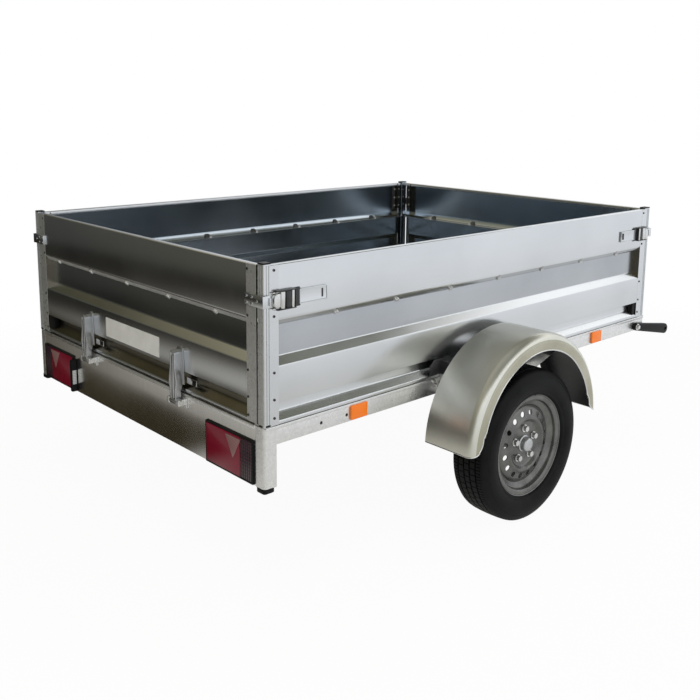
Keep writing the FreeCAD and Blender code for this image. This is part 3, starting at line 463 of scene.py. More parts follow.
# a pale, mostly diffuse copy of the zinc; on the guard's inner lip it is painted light
lipZinc = moulded("lipZinc", (0.50, 0.49, 0.45), (0.62, 0.61, 0.57), 0.40, 220.0, 0.2, 0.05)
castZinc = moulded("castZinc", (0.42, 0.43, 0.44), (0.58, 0.59, 0.60), 0.30, 220.0, 0.9, 0.06)
rivetSteel = moulded("rivetSteel", (0.05, 0.05, 0.052), (0.11, 0.11, 0.112), 0.34, 300.0, 0.6)
wheelPaint = moulded("wheelPaint", (0.11, 0.11, 0.106), (0.20, 0.20, 0.19), 0.28, 700.0, 0.75)
blackPaint = moulded("blackPaint", (0.014, 0.014, 0.015), (0.035, 0.035, 0.036), 0.36, 250.0)
blackPlastic = moulded("blackPlastic", (0.005, 0.005, 0.0055), (0.013, 0.013, 0.014), 0.36, 900.0, gloss=0.12)
tyreRubber = moulded("tyreRubber", (0.004, 0.004, 0.004), (0.011, 0.011, 0.012), 0.56, 500.0, 0.0, 0.2, 0.12)
solidRubber = moulded("solidRubber", (0.018, 0.018, 0.018), (0.045, 0.045, 0.045), 0.66, 400.0, 0.0, 0.2)
platePaint = moulded("platePaint", (0.72, 0.71, 0.68), (0.80, 0.79, 0.77), 0.38, 60.0)
redLens = ribbedLens("redLens", (0.15, 0.001, 0.014), (0.34, 0.004, 0.034), 55.0, 0.08)
darkLens = ribbedLens("darkLens", (0.012, 0.006, 0.012), (0.060, 0.012, 0.024), 30.0, 0.10)
paleLens = ribbedLens("paleLens", (0.20, 0.085, 0.085), (0.40, 0.24, 0.24), 60.0, 0.10)
amberLens = ribbedLens("amberLens", (0.92, 0.20, 0.006), (1.0, 0.30, 0.012), 48.0, 0.10)
clearLens = ribbedLens("clearLens", (0.35, 0.36, 0.36), (0.75, 0.76, 0.76), 50.0, 0.10)
print("materials made")


# pressed walls
wallForm = {"gauge": 0.002, "bend": 0.003, "boardBend": 0.0045, "relief": 0.025, "flange": 0.055, "fold": 0.022,
            "drop": 0.015, "joint": 0.300, "slope": 0.320, "over": 0.010, "foot": 0.018, "top": bed["topZ"] - floorZ,
            "rows": (0.011, 0.033, 0.067, 0.178, 0.203), "recess": (0.204, 0.299), "step": (0.016, 0.073),
            "fall": (0.301, 0.3185), "lift": 0.0006, "strip": 0.0015}
# the walls' finishes: outer zinc, then darker copies painted as shade inside, in the upper recess, in the tail's lower
# recess and on the board's down-facing slope; on the tail that slope takes a lighter copy, a painted light band
wallFinishes = [wallZinc, innerZinc, recessZinc, shadeZinc, recessZinc]
tailFinishes = wallFinishes[:4] + [foldZinc]


def wallPoint(wall, run, inset, height):
    # a place on a wall: along it, inwards from its outer plane, and above the chassis
    up = floorZ + height
    return Vector({"right": (run, inset - sideY, up), "left": (run, sideY - inset, up),
                   "tail": (tailX + inset, run, up), "front": (frontX - inset, run, up)}[wall])


def foldedSheet(name, wall, start, end, profile, bend, lined=()):
    # one flat panel, its edge drawn on fold by fold, the folds rounded and the gauge added;
    # a lined sheet takes its second finish inside, its third in the upper recess,
    # on the tail its fourth in the lower one, and its fifth on the board's slope: darker copies painted as shade,
    # but on the tail's slope a lighter copy as a painted light band; faces that look up keep the lighter first finish,
    # painted light
    first = wallPoint(wall, start, *profile[0])
    along = wallPoint(wall, end, *profile[0]) - first
    across = wallPoint(wall, start, *profile[1]) - first
    turn = Matrix((along.normalized(), across.normalized(), along.cross(across).normalized())).transposed()
    clearSelection()
    bpy.ops.mesh.primitive_plane_add(size=1, location=first + (along + across) / 2, rotation=turn.to_euler())
    bpy.context.object.scale = (along.length, across.length, 1)
    obj = named(name)
    edit(obj, "EDGE")
    far = first + across + along / 2
    pick(obj, lambda middle, run: (middle - far).length < 0.0001, "edges")
    for here, there in zip(profile[1:], profile[2:]):
        push(wallPoint(wall, start, *there) - wallPoint(wall, start, *here))
    bpy.ops.mesh.select_all(action="SELECT")
    bpy.ops.mesh.normals_make_consistent(inside=False)
    leave()
    inward = wallPoint(wall, 0, 1, 0) - wallPoint(wall, 0, 0, 0)
    faceOut(obj, lambda face: abs(face.normal.dot(inward)) * face.area, -inward)
    bevel(obj, bend, 3, 12)
    for material in lined:
        obj.data.materials.append(material)
    useModifier(obj, "SOLIDIFY", thickness=wallForm["gauge"], offset=-1, material_offset=1 if lined else 0)

    def within(height, key):
        return wallForm[key][0] < height < wallForm[key][1]

    # up-facing faces keep the lighter outer zinc, inside too, as painted light; the other bands take painted shade
    for face in obj.data.polygons:
        height = face.center.z - floorZ
        outer = lined and face.material_index == 0
        if face.normal.z > 0.6 and height > wallForm["recess"][0]:
            face.material_index = 0
        elif outer and within(height, "recess") and face.normal.dot(inward) < 0:
            face.material_index = 2
        elif outer and wall == "tail" and within(height, "step"):
            face.material_index = 3
        elif outer and within(height, "fall") and face.normal.z < -0.4:
            face.material_index = 4
    return smooth(obj, 28)


def lowerProfile(base=0.0):
    deep, flange, joint = wallForm["relief"], wallForm["flange"], wallForm["joint"]
    toe, toeTop, step, bulge, bulgeTop = (base + row for row in wallForm["rows"])
    return [(wallForm["foot"], base), (0, base), (0, toe), (deep, toeTop), (deep, step), (0, step), (0, bulge),
            (deep, bulgeTop), (deep, joint), (flange, joint)]


def boardProfile():
    joint, top, fold = wallForm["joint"], wallForm["top"], wallForm["fold"]
    return [(wallForm["flange"], joint), (wallForm["over"], joint), (0, wallForm["slope"]), (0, top), (fold, top),
            (fold, top - wallForm["drop"])]


def endStrip(wall, first, last, base):
    # the flat strip over the end of the pressed bands, with a return that closes them, painted dark as the shade inside
    # the bands
    edge, other = sorted((first, last), key=abs)
    lift, gauge, top = wallForm["lift"], wallForm["strip"], wallForm["top"] - 0.001
    inner = edge + (gauge if other > edge else -gauge)
    plate = block("strip", *zip(wallPoint(wall, other, -lift, base), wallPoint(wall, edge, gauge - lift, top)))
    back = block("return", *zip(wallPoint(wall, edge, 0.001 - lift, base + 0.002),
                                wallPoint(wall, inner, wallForm["relief"] + 0.001, top - 0.002)))
    finishes = (wallZinc, shadeZinc)
    return bevel(joinAll("strip", [paintAs(plate, finishes, 0), paintAs(back, finishes, 1)]), 0.0005, 1)


lower = foldedSheet("sideWallRight", "right", tailX + 0.052, frontX - 0.062, lowerProfile(), wallForm["bend"],
                    wallFinishes)
board = foldedSheet("sideBoardRight", "right", tailX + 0.022, frontX - 0.042, boardProfile(), wallForm["boardBend"],
                    wallFinishes)
finishPair(lower, "trailer", "zinc_sheet", wallFinishes, "side_lower_")
finishPair(board, "trailer", "zinc_sheet", wallFinishes, "side_upper_")
for wall, reach, body, node, base, finishes in (("front", 0.7215, "trailer", "front", 0.0, wallFinishes),
                                                ("tail", 0.7175, "tailgate", "tailgate", 0.005, tailFinishes)):
    lower = foldedSheet("wall" + wall.title(), wall, -reach + 0.045, reach - 0.045, lowerProfile(base),
                        wallForm["bend"], finishes)
    board = foldedSheet("board" + wall.title(), wall, -reach, reach, boardProfile(), wallForm["boardBend"], finishes)
    finishPiece(lower, body, "zinc_sheet", finishes, node + "_lower")
    finishPiece(board, body, "zinc_sheet", finishes, node + "_upper")
strips = [endStrip("right", tailX + 0.055, tailX + 0.0215, 0.001),
          endStrip("right", frontX - 0.065, frontX - 0.0415, 0.001)]
strips += [flip(strip, "stripLeft") for strip in strips]
strips += [endStrip("front", side * 0.6715, side * 0.7205, 0.001) for side in (-1, 1)]
finishPiece(joinAll("endStrips", strips), "trailer", "zinc_sheet", [wallZinc, shadeZinc])
strips = [endStrip("tail", side * 0.6715, side * 0.7175, 0.006) for side in (-1, 1)]
for side in (-1, 1):
    # the gate's turned-in edge beside the post, painted dark as the shade in the gap
    edge = block("gateReturn", (tailX + 0.0008, tailX + 0.0024), (side * 0.7170, side * 0.7213),
                 (floorZ + 0.006, bed["topZ"] - 0.0015))
    strips.append(paintAs(edge, (postZinc, shadeZinc), 1))
# the tail strips take the darker post zinc, painted shade on faces that look back
finishPiece(joinAll("tailStrips", strips), "tailgate", "zinc_sheet", [postZinc, shadeZinc])
print("walls folded")


# rivets and bolts
rivetForm = {"radius": 0.0042, "rise": 0.0016, "hole": 0.0018, "rim": 0.0012, "sink": -0.0010,
             "heights": (0.024, 0.080, 0.162, 0.330, 0.465), "tailHeights": (0.024, 0.080, 0.162, 0.326, 0.464)}
rivetFinishes = [rivetSteel, blackPlastic]


def rivet():
    # a blind rivet: low domed head with a sunk middle painted black as the shade in its hole, along +Z from the origin
    radius, rim, hole = rivetForm["radius"], rivetForm["rim"], rivetForm["hole"]
    obj = rod("rivet", (0, 0, rivetForm["rise"] / 2), axisZ, radius, rivetForm["rise"], 14)
    insetFaces(obj, lambda centre, normal: normal.z > 0.9, (rim, 0.0003), (radius - rim - hole, 0),
               (0, 0, rivetForm["sink"]))
    paintAs(obj, rivetFinishes, 0)
    for face in obj.data.polygons:
        if math.hypot(face.center.x, face.center.y) < hole * 1.05 and face.center.z > 0:
            face.material_index = 1
    return smooth(obj)


def hexBolt(across, rise, washer, dark=False):
    # a hexagon head with chamfered corners on a flange washer, along +Z from the origin; when dark is set, the washer
    # is painted dark as the shadow round the head
    radius = across / 2 / math.cos(math.radians(30))
    head = rod("bolt", (0, 0, rise / 2 + 0.001), axisZ, radius, rise, 6)
    insetFaces(head, lambda centre, normal: normal.z > 0.9, (radius * 0.12, radius * 0.06),
               (radius * 0.25, -radius * 0.05))
    base = bevel(rod("washer", (0, 0, 0.0006), axisZ, washer, 0.0016, 20), 0.0004, 1)
    finishes = (brightZinc, rivetSteel)
    parts = [paintAs(bevel(head, 0.0004, 1, 40), finishes, 0), paintAs(base, finishes, int(dark))]
    return smooth(joinAll("bolt", parts), 30)


seed = rivet()
rivets = []
for side in (-1, 1):
    face = side * (sideY + wallForm["lift"])
    rivets += copyTo(seed, [Vector((x, face, floorZ + height)) for x in (tailX + 0.038, frontX - 0.054)
                            for height in rivetForm["heights"]], (0, side, 0))
    rivets += copyTo(seed, [Vector((frontX + wallForm["lift"], side * 0.696, floorZ + height))
                            for height in rivetForm["heights"]], axisX)
finishPiece(joinAll("wallRivets", rivets), "trailer", "bright_steel", rivetFinishes)
rivets = copyTo(seed, [Vector((tailX - wallForm["lift"], side * 0.678, floorZ + height)) for side in (-1, 1)
                       for height in rivetForm["tailHeights"]], (-1, 0, 0))
finishPiece(joinAll("tailRivets", rivets), "tailgate", "bright_steel", rivetFinishes)
drop(seed)

# bolts that hold the boards on the walls, with their small heads on the inner shelf
joinForm = {"height": 0.3085, "inset": wallForm["relief"] * 0.45, "head": 0.038,
            "along": [tailX + 0.282 + 0.2652 * number for number in range(7)],
            "across": (-0.5595, -0.2995, -0.0355, 0.2335, 0.505)}
# the board bolts' washers are painted dark as the shadow round their heads
seed, small = hexBolt(0.016, 0.009, 0.0135, True), hexBolt(0.009, 0.004, 0.0070)
shelf, joinZ = floorZ + wallForm["joint"] + wallForm["gauge"], floorZ + joinForm["height"]
bolts = []
for side in (-1, 1):
    outer, inner = side * (sideY - joinForm["inset"]), side * (sideY - joinForm["head"])
    bolts += copyTo(seed, [Vector((x, outer, joinZ)) for x in joinForm["along"]], Vector((0, side, -1)).normalized())
    bolts += copyTo(small, [Vector((x, inner, shelf)) for x in joinForm["along"]])
for name, body, end, hand in (("boardBolts", "trailer", frontX, 1), ("tailBolts", "tailgate", tailX, -1)):
    outer, inner = end - hand * joinForm["inset"], end - hand * joinForm["head"]
    bolts += copyTo(seed, [Vector((outer, hand * y, joinZ)) for y in joinForm["across"]],
                    Vector((hand, 0, -1)).normalized())
    bolts += copyTo(small, [Vector((inner, hand * y, shelf)) for y in joinForm["across"]])
    finishPiece(joinAll(name, bolts), body, "bright_steel", [boltZinc, rivetSteel])
    bolts = []
drop(seed, small)
print("rivets and bolts set")


# corner posts: rolled tubes with two fine ribs down each outer face, and caps on top
postForm = {"rear": 0.0300, "front": 0.0400, "wide": 0.0300, "round": 0.0055, "rib": 0.0012, "steps": (0.012, 0.021),
            "top": bed["topZ"] + 0.003, "cap": 0.0044}
postFinishes = [wallZinc, innerZinc, postZinc]
caps, notchShades = [], []
for end, outX in (("rear", -1), ("front", 1)):
    for label, side in sides:
        lowX = tailX if outX < 0 else frontX - postForm[end]
        lowY = sideY - postForm["wide"] if side > 0 else -sideY
        highX, highY, top = lowX + postForm[end], lowY + postForm["wide"], postForm["top"]
        tube = block("post", (lowX, highX), (lowY, highY), (floorZ, top))
        parts = [roundEdges(tube, lambda middle, run: abs(run.z) > 0.1, postForm["round"], 5)]
        rib, ribZ = postForm["rib"], (floorZ + 0.004, top - 0.004)
        for step in postForm["steps"]:
            x = lowX - rib if outX < 0 else highX
            y = highY - step if side > 0 else lowY + step
            parts.append(block("rib", (x - 0.0002, x + rib + 0.0002), (y - 0.0014, y + 0.0014), ribZ))
            x = highX - step if outX > 0 else lowX + step
            y = lowY - rib if side < 0 else highY
            parts.append(block("rib", (x - 0.0014, x + 0.0014), (y - 0.0002, y + rib + 0.0002), ribZ))
        for part in parts[1:]:
            bevel(part, 0.0006, 1)
        post = paintAs(joinAll("cornerPost" + end.title() + label.title(), parts), postFinishes, 0)
        # faces that look into the bed take a darker copy painted as shade, and the end faces another darker copy
        # painted as shade
        inward = Vector((-outX, -side, 0))
        for face in post.data.polygons:
            if face.normal.dot(inward) > 0.5:
                face.material_index = 1
            elif face.normal.x * outX > 0.6:
                face.material_index = 2
        finishPiece(smooth(post), "trailer", "zinc_frame", postFinishes, "post_%s_%s" % (end, label))
        base = top - 0.0004
        cap = block("cap", (lowX + 0.001, highX - 0.001), (lowY + 0.001, highY - 0.001), (base, base + postForm["cap"]))
        insetFaces(cap, lambda centre, normal: normal.z > 0.9, (0.004, 0))
        caps.append(bevel(cap, 0.0015, 2))
finishPiece(smooth(joinAll("postCaps", caps)), "trailer", "black_plastic", blackPlastic, "post_caps")
# black blocks at the posts' feet: painted shade in the notches there
for side in (-1, 1):
    face, notchZ = side * sideY, (floorZ + 0.0015, floorZ + 0.0075)
    notchShades.append(block("notch", (tailX - 0.0016, tailX + 0.002), (face - side * 0.007, face - side * 0.024), notchZ))
    notchShades.append(block("notch", (tailX + 0.007, tailX + 0.024), (face + side * 0.0016, face - side * 0.002), notchZ))
finishPiece(bevel(joinAll("postNotches", notchShades), 0.0008, 1), "trailer", "black_plastic", blackPlastic)
print("posts standing")


# chassis: folded beams with their holes and weld nuts, and the deck's turned-down edge
frameForm = {"flange": 0.040, "face": 0.0005, "top": -0.0030, "low": -0.060, "hole": 0.0055, "holeDrop": 0.035,
             "holes": (0.220, 0.326), "nut": 0.0095, "thread": 0.0044, "bend": 0.004, "edge": 0.0014,
             "edgeLow": 0.0115, "seam": 0.0006}
section = [(frameForm["flange"], frameForm["low"]), (frameForm["face"], frameForm["low"]),
           (frameForm["face"], frameForm["top"]), (frameForm["flange"], frameForm["top"])]
beam = foldedSheet("sideBeamRight", "right", tailX + 0.0405, frontX - 0.001, section, frameForm["bend"])
nuts = []
for distance in frameForm["holes"]:
    x, z = tailX + distance, floorZ - frameForm["holeDrop"]
    cutOut(beam, rod("drill", (x, -sideY, z), axisY, frameForm["hole"], 0.03))
    place = (x, -sideY + 0.0075, z)
    # weld nuts behind the holes, in dark steel as painted shade inside the beam
    nut = rod("weldNut", place, axisY, frameForm["nut"], 0.008, 6)
    nuts.append(cutOut(nut, rod("thread", place, axisY, frameForm["thread"], 0.02, 20)))
nuts = bevel(joinAll("weldNuts", nuts), 0.0006, 1)
for obj in (nuts, flip(nuts, "weldNutsLeft")):
    finishPiece(obj, "trailer", "bright_steel", rivetSteel)
finishPair(smooth(beam, 28), "trailer", "zinc_frame", frameZinc, "chassis_beam_")
beam = foldedSheet("frontBeam", "front", -0.711, 0.711, section, frameForm["bend"])
finishPiece(beam, "trailer", "zinc_frame", frameZinc, "chassis_front_beam")

edge, edgeZ = frameForm["edge"], (floorZ - frameForm["edgeLow"], floorZ - frameForm["seam"])
edges = [block("deckEdge", (tailX + 0.006, frontX), (side * sideY, side * (sideY + edge)), edgeZ) for side in (-1, 1)]
edges.append(block("deckEdge", (frontX - 0.001, frontX + edge), (-sideY - 0.0012, sideY + 0.0012), edgeZ))
edges.append(block("deckEdge", (tailX - 0.0016, tailX + 0.001), (-sideY + 0.046, sideY - 0.046),
                   (floorZ - 0.0120, floorZ - frameForm["seam"])))
finishPiece(smooth(bevel(joinAll("deckEdges", edges), 0.0008, 2)), "trailer", "zinc_frame", frameZinc)
# the tail sill, painted dark as the shade under the gate's foot
sill = block("tailSill", (tailX + 0.0005, tailX + 0.0160), (-sideY + 0.031, sideY - 0.031),
             (floorZ - 0.0004, floorZ + 0.0010))
finishPiece(bevel(sill, 0.0004, 1), "trailer", "zinc_frame", shadeZinc)

# cross members under the floor, three top-hat bars, and the floor with shallow swages along it
deckForm = {"bars": [tailX + share * bed["length"] for share in (0.22, 0.50, 0.78)], "half": 0.0155, "brim": 0.030,
            "reach": 0.7105, "wall": 0.0028, "swages": (-0.50, -0.25, 0.0, 0.25, 0.50), "width": 0.030,
            "rise": 0.0022, "rivets": (-0.62, -0.375, -0.125, 0.125, 0.375, 0.62)}
bars = []
for middle in deckForm["bars"]:
    ys = (-deckForm["reach"], deckForm["reach"])
    bar = block("crossBar", (middle - deckForm["half"], middle + deckForm["half"]), ys,
                (floorZ - 0.043, floorZ - 0.003))
    edit(bar)
    pick(bar, lambda centre, normal: abs(normal.y) > 0.9)
    bpy.ops.mesh.inset(thickness=deckForm["wall"])
    bpy.ops.mesh.extrude_region_shrink_fatten(TRANSFORM_OT_shrink_fatten={"value": -0.05})
    leave()
    brim = block("crossBrim", (middle - deckForm["brim"], middle + deckForm["brim"]), ys,
                 (floorZ - 0.0058, floorZ - 0.0032))
    bars += [bevel(bar, 0.003, 2), bevel(brim, 0.0008, 1)]
finishPiece(smooth(joinAll("crossBars", bars)), "trailer", "zinc_frame", frameZinc, "cross_members")
parts = [block("bedFloor", (tailX + 0.0026, frontX - 0.0005), (-sideY + 0.0005, sideY - 0.0005),
               (floorZ - 0.0029, floorZ))]
for y in deckForm["swages"]:
    swage = block("swage", (tailX + 0.12, frontX - 0.12), (y - deckForm["width"] / 2, y + deckForm["width"] / 2),
                  (floorZ - 0.0005, floorZ + deckForm["rise"]))
    parts.append(bevel(swage, 0.0018, 2))
finishPiece(smooth(joinAll("bedFloor", parts)), "trailer", "zinc_sheet", floorZinc, "floor")
seed = rivet()
marks = copyTo(seed, [Vector((x, y, floorZ)) for x in deckForm["bars"] for y in deckForm["rivets"]])
drop(seed)
finishPiece(joinAll("floorRivets", marks), "trailer", "bright_steel", rivetFinishes)
print("chassis laid")


# rear skirt with its windows for the lamps, and the legs with their feet
skirtForm = {"depth": 0.191, "fold": 0.025, "end": 0.0405, "legSide": 0.046, "legTail": 0.040, "legRound": 0.011,
             "legGauge": 0.0028, "footHeight": 0.014}
lampForm = {"inset": 0.048, "width": 0.248, "top": 0.050, "height": 0.138, "face": 0.0062, "tray": 0.0006,
            "rim": 0.0052, "sink": 0.0050, "lens": 0.0066, "red": 0.063, "ribs": 6, "rib": 0.0088, "ribStep": 0.0094,
            "triangle": 0.046, "triangleIn": 0.098, "triangleDown": 0.0350}
skirt = foldedSheet("rearSkirt", "tail", -sideY + skirtForm["end"], sideY - skirtForm["end"],
                    [(skirtForm["fold"], -skirtForm["depth"]), (0, -skirtForm["depth"]), (0, -0.0005)], 0.004)
for side in (-1, 1):
    outer, top = sideY - lampForm["inset"], floorZ - lampForm["top"]
    cutOut(skirt, block("window", (tailX - 0.02, tailX + 0.02), (side * outer, side * (outer - lampForm["width"])),
                        (top - lampForm["height"], top)))
finishPiece(smooth(skirt, 28), "trailer", "zinc_frame", skirtZinc, "rear_skirt")

feet = []
for label, side in sides:
    face, low = side * sideY, floorZ - skirtForm["depth"]
    leg = block("rearLeg" + label.title(), (tailX - 0.0004, tailX + skirtForm["legSide"]),
                (face, side * (sideY - skirtForm["legTail"])), (low, floorZ - 0.001))
    edit(leg)
    pick(leg, lambda centre, normal: abs(normal.z) > 0.9 or normal.x > 0.9 or normal.y * side < -0.9)
    bpy.ops.mesh.delete(type="FACE")
    leave()
    roundEdges(leg, lambda middle, run: abs(run.z) > 0.1 and middle.x < tailX + 0.001
               and abs(middle.y - face) < 0.001, skirtForm["legRound"], 6)
    useModifier(leg, "SOLIDIFY", thickness=skirtForm["legGauge"], offset=-1)
    finishPiece(smooth(leg, 28), "trailer", "zinc_frame", frameZinc, "rear_leg_" + label)
    foot = block("foot", (tailX - 0.0012, tailX + skirtForm["legSide"] - 0.006),
                 (side * (sideY + 0.0008), side * (sideY - skirtForm["legTail"] - 0.001)),
                 (low - skirtForm["footHeight"], low + 0.002))
    roundEdges(foot, lambda middle, run: abs(run.z) > 0.01, 0.009, 4)
    feet.append(bevel(foot, 0.0022, 2, 50))
finishPiece(smooth(joinAll("rearFeet", feet)), "trailer", "black_plastic", blackPlastic, "rear_feet")


# tail lamps: black tray, red lens, sunk pale triangle, and a dark ribbed field at the outer end
lampFinishes = [blackPlastic, redLens, paleLens, darkLens]


def sunkFront(obj, *steps):
    # works on the faces that look back
    return insetFaces(obj, lambda centre, normal: normal.x < -0.9, *steps)


def tailLamp(label, side):
    outer, high, face = sideY - lampForm["inset"], floorZ - lampForm["top"], tailX - lampForm["face"]
    width, height = lampForm["width"], lampForm["height"]
    low = high - height

    def span(first, last, base, back, front):
        # a block between two distances from the lamp's outer end, as far from its upper as from its lower edge
        return block("span", (face - front, face + back), (side * (outer - first), side * (outer - last)),
                     (low + base, low + height - base))

    gap, lens = lampForm["tray"], lampForm["lens"]
    tray = bevel(sunkFront(span(gap, width - gap, gap, 0.049, gap), (lampForm["rim"], 0), (lampForm["sink"], 0, 0)),
                 0.0010, 2)
    red = bevel(sunkFront(span(lampForm["red"], width - 0.0064, lens, 0.003, 0.0012), (0.0022, 0.0008)), 0.0008, 2)
    ribs = [bevel(span(first, first + lampForm["rib"], lens, 0.003, 0.0008), 0.0022, 3)
            for first in (lens + number * lampForm["ribStep"] for number in range(lampForm["ribs"]))]
    # the reflector's triangle: a three-sided prism, pressed flat, its point down
    clearSelection()
    bpy.ops.mesh.primitive_cylinder_add(
        vertices=3, radius=lampForm["triangle"], depth=0.0030, rotation=(0, math.radians(-90), 0),
        location=(face - 0.0016, side * (outer - lampForm["triangleIn"]), high - lampForm["triangleDown"]))
    triangle = named("triangle")
    corners = triangle.data.vertices
    middle = sum((vertex.co for vertex in corners), Vector()) / len(corners)
    onAll(triangle, bpy.ops.transform.rotate, value=math.radians(90), orient_axis="X", center_override=middle)
    lowest = min(vertex.co.z for vertex in corners)
    if sum(abs(vertex.co.z - lowest) < 0.001 for vertex in corners) > 2:
        onAll(triangle, bpy.ops.transform.rotate, value=math.pi, orient_axis="X", center_override=middle)
    triangle = bevel(sunkFront(triangle, (0.0045, 0.0008)), 0.0008, 2)
    parts = [paintAs(part, lampFinishes, index) for index, part in enumerate((tray, red, triangle))]
    parts += [paintAs(part, lampFinishes, 3) for part in ribs]
    finishPiece(smooth(joinAll("tailLamp" + label.title(), parts)), "trailer", "red_lens", lampFinishes,
                "tail_lamp_" + label)


for label, side in sides:
    tailLamp(label, side)

# number-plate lamp at the left lamp's inner end, its window turned to the middle:
# how far each part stands out behind the tail, from and to, its inner and outer side, its ends, rounding, finish
licenceForm = {"low": floorZ - 0.188, "parts": (
    (0.0220, 0.0002, 0.4370, 0.4545, 0.0003, 0.1258, 0.003, 3, 0),
    (0.0218, 0.0006, 0.4366, 0.4400, 0.088, 0.096, 0.0012, 2, 0),
    (0.0195, 0.003, 0.4366, 0.4400, 0.030, 0.086, 0.0012, 2, 1))}
parts = []
for back, front, inner, outer, low, high, rounding, rounds, finish in licenceForm["parts"]:
    part = block("licencePart", (tailX - back, tailX - front), (inner, outer),
                 (licenceForm["low"] + low, licenceForm["low"] + high))
    parts.append(paintAs(bevel(part, rounding, rounds), (blackPlastic, clearLens), finish))
finishPiece(smooth(joinAll("licenceLamp", parts)), "trailer", "clear_lens", [blackPlastic, clearLens], "licence_lamp")

# side reflectors: amber prism panels in a slim frame
reflectorForm = {"starts": (tailX + 0.340, frontX - 0.417), "long": 0.070, "high": 0.046, "proud": 0.0068,
                 "low": floorZ - 0.054}
panels = []
for side in (-1, 1):
    for start in reflectorForm["starts"]:
        face, low = side * sideY, reflectorForm["low"]
        panel = block("reflector", (start, start + reflectorForm["long"]),
                      (face, face + side * reflectorForm["proud"]), (low, low + reflectorForm["high"]))
        insetFaces(panel, lambda centre, normal: normal.y * side > 0.9, (0.0035, -0.0009), (0.0008, 0.0007))
        panels.append(bevel(panel, 0.0012, 2))
finishPiece(smooth(joinAll("sideReflectors", panels)), "trailer", "amber_lens", amberLens, "side_reflectors")
print("lamps fitted")


# tailgate hinges: a folded strap on a backing plate, its eye on a pin between the cheeks of the base
hingeForm = {"y": (-0.307, 0.307), "pinX": tailX - 0.020, "pinZ": floorZ - 0.026, "half": 0.0180, "eye": 0.0225,
             "flare": 1.30, "neck": 0.80, "depth": 0.0268, "front": 0.0108, "top": floorZ + 0.145,
             "cuts": (0.012, 0.042, 0.090), "round": 0.0125, "wall": 0.0060, "sink": 0.0050,
             "back": ((-0.027, 0.030), (0.018, 0.030), (0.013, 0.150), (-0.010, 0.156), (-0.020, 0.150),
                      (-0.026, 0.095)),
             "tabs": -0.082}
pinX, pinZ, top = hingeForm["pinX"], hingeForm["pinZ"], hingeForm["top"]


def foldedStrap(y):
    # wide below its middle, narrow at its top, drawn in at its foot and hollow behind
    front = pinX - hingeForm["front"]
    strap = block("strap", (front, front + hingeForm["depth"] + 0.004), (y - hingeForm["half"], y + hingeForm["half"]),
                  (pinZ + 0.004, top))
    edit(strap)
    for height in hingeForm["cuts"]:
        bpy.ops.mesh.select_all(action="SELECT")
        bpy.ops.mesh.bisect(plane_co=(0, 0, floorZ + height), plane_no=axisZ)
    for share, test in ((hingeForm["flare"], lambda spot: abs(spot.z - floorZ - hingeForm["cuts"][1]) < 0.001),
                        (hingeForm["neck"], lambda spot: spot.z > floorZ + 0.08)):
        pick(strap, test, "vertices")
        bpy.ops.transform.resize(value=(1, share, 1), center_override=(pinX, y, pinZ))
    pick(strap, lambda spot: spot.z < floorZ + 0.015 and spot.x > pinX, "vertices")
    bpy.ops.transform.translate(value=(-0.0085, 0, 0))
    leave()
    roundEdges(strap, lambda middle, run: abs(run.x) > 0.01 and middle.z > top - 0.001, hingeForm["round"], 5)
    insetFaces(strap, lambda centre, normal: normal.x < -0.7, (hingeForm["wall"], 0), (hingeForm["sink"], 0, 0))
    return useModifier(strap, "BEVEL", width=0.0026, segments=3, limit_method="ANGLE", angle_limit=math.radians(24))


straps, pins, bases, tabs, pads = [], [], [], [], []
for y in hingeForm["y"]:
    strap = foldedStrap(y)
    backing = slab("strapBack", 0, tailX - 0.0034, [(y + across, floorZ + height) for across, height
                                                    in hingeForm["back"]], 0.0032)
    straps.append(bevel(backing, 0.0010, 2))
    rib = bevel(block("strapRib", (pinX - 0.0110, pinX - 0.004), (y - 0.006, y + 0.006),
                      (pinZ + 0.010, floorZ + 0.128)), 0.0028, 3)
    eye = bevel(rod("strapEye", (pinX, y, pinZ), axisY, 0.0112, 2 * hingeForm["eye"], 28), 0.0012, 2)
    straps += [strap, rib, eye]
    pins.append(bevel(rod("hingePin", (pinX, y, pinZ), axisY, 0.0058, 0.074, 20), 0.0012, 2))
    for hand in (-1, 1):
        pins.append(bevel(rod("pinHead", (pinX, y + hand * 0.0362, pinZ), axisY, 0.0095, 0.0036, 6), 0.0008, 1))
        cheek = block("cheek", (pinX - 0.0105, tailX + 0.001), (y + hand * 0.0235, y + hand * 0.0345),
                      (pinZ - 0.0105, pinZ + 0.0105))
        bases.append(bevel(cheek, 0.0030, 3))
    bases.append(bevel(block("hingeFoot", (tailX - 0.0042, tailX - 0.0002), (y - 0.040, y + 0.040),
                             (pinZ - 0.020, pinZ + 0.013)), 0.0014, 2))
    middle = y + hingeForm["tabs"]
    tabs.append(bevel(block("tab", (tailX - 0.0022, tailX + 0.001), (middle - 0.016, middle + 0.040),
                            (floorZ + 0.040, floorZ + 0.060)), 0.0008, 2))
    pads.append(bevel(block("pad", (tailX - 0.0050, tailX - 0.0018), (middle - 0.012, middle + 0.006),
                            (floorZ + 0.042, floorZ + 0.058)), 0.0020, 2))
for name, parts, body, slot, finish, nodes in (
        ("hingeStraps", straps, "tailgate", "zinc_frame", castZinc, ["tailgate_hinge_straps"]),
        ("hingeBases", bases, "trailer", "zinc_frame", frameZinc, ["hinge_bases"]),
        ("hingePins", pins, "trailer", "bright_steel", brightZinc, []),
        ("gateTabs", tabs, "tailgate", "bright_steel", brightZinc, []),
        ("gatePads", pads, "tailgate", "black_plastic", blackPlastic, [])):
    finishPiece(smooth(joinAll(name, parts)), body, slot, finish, *nodes)

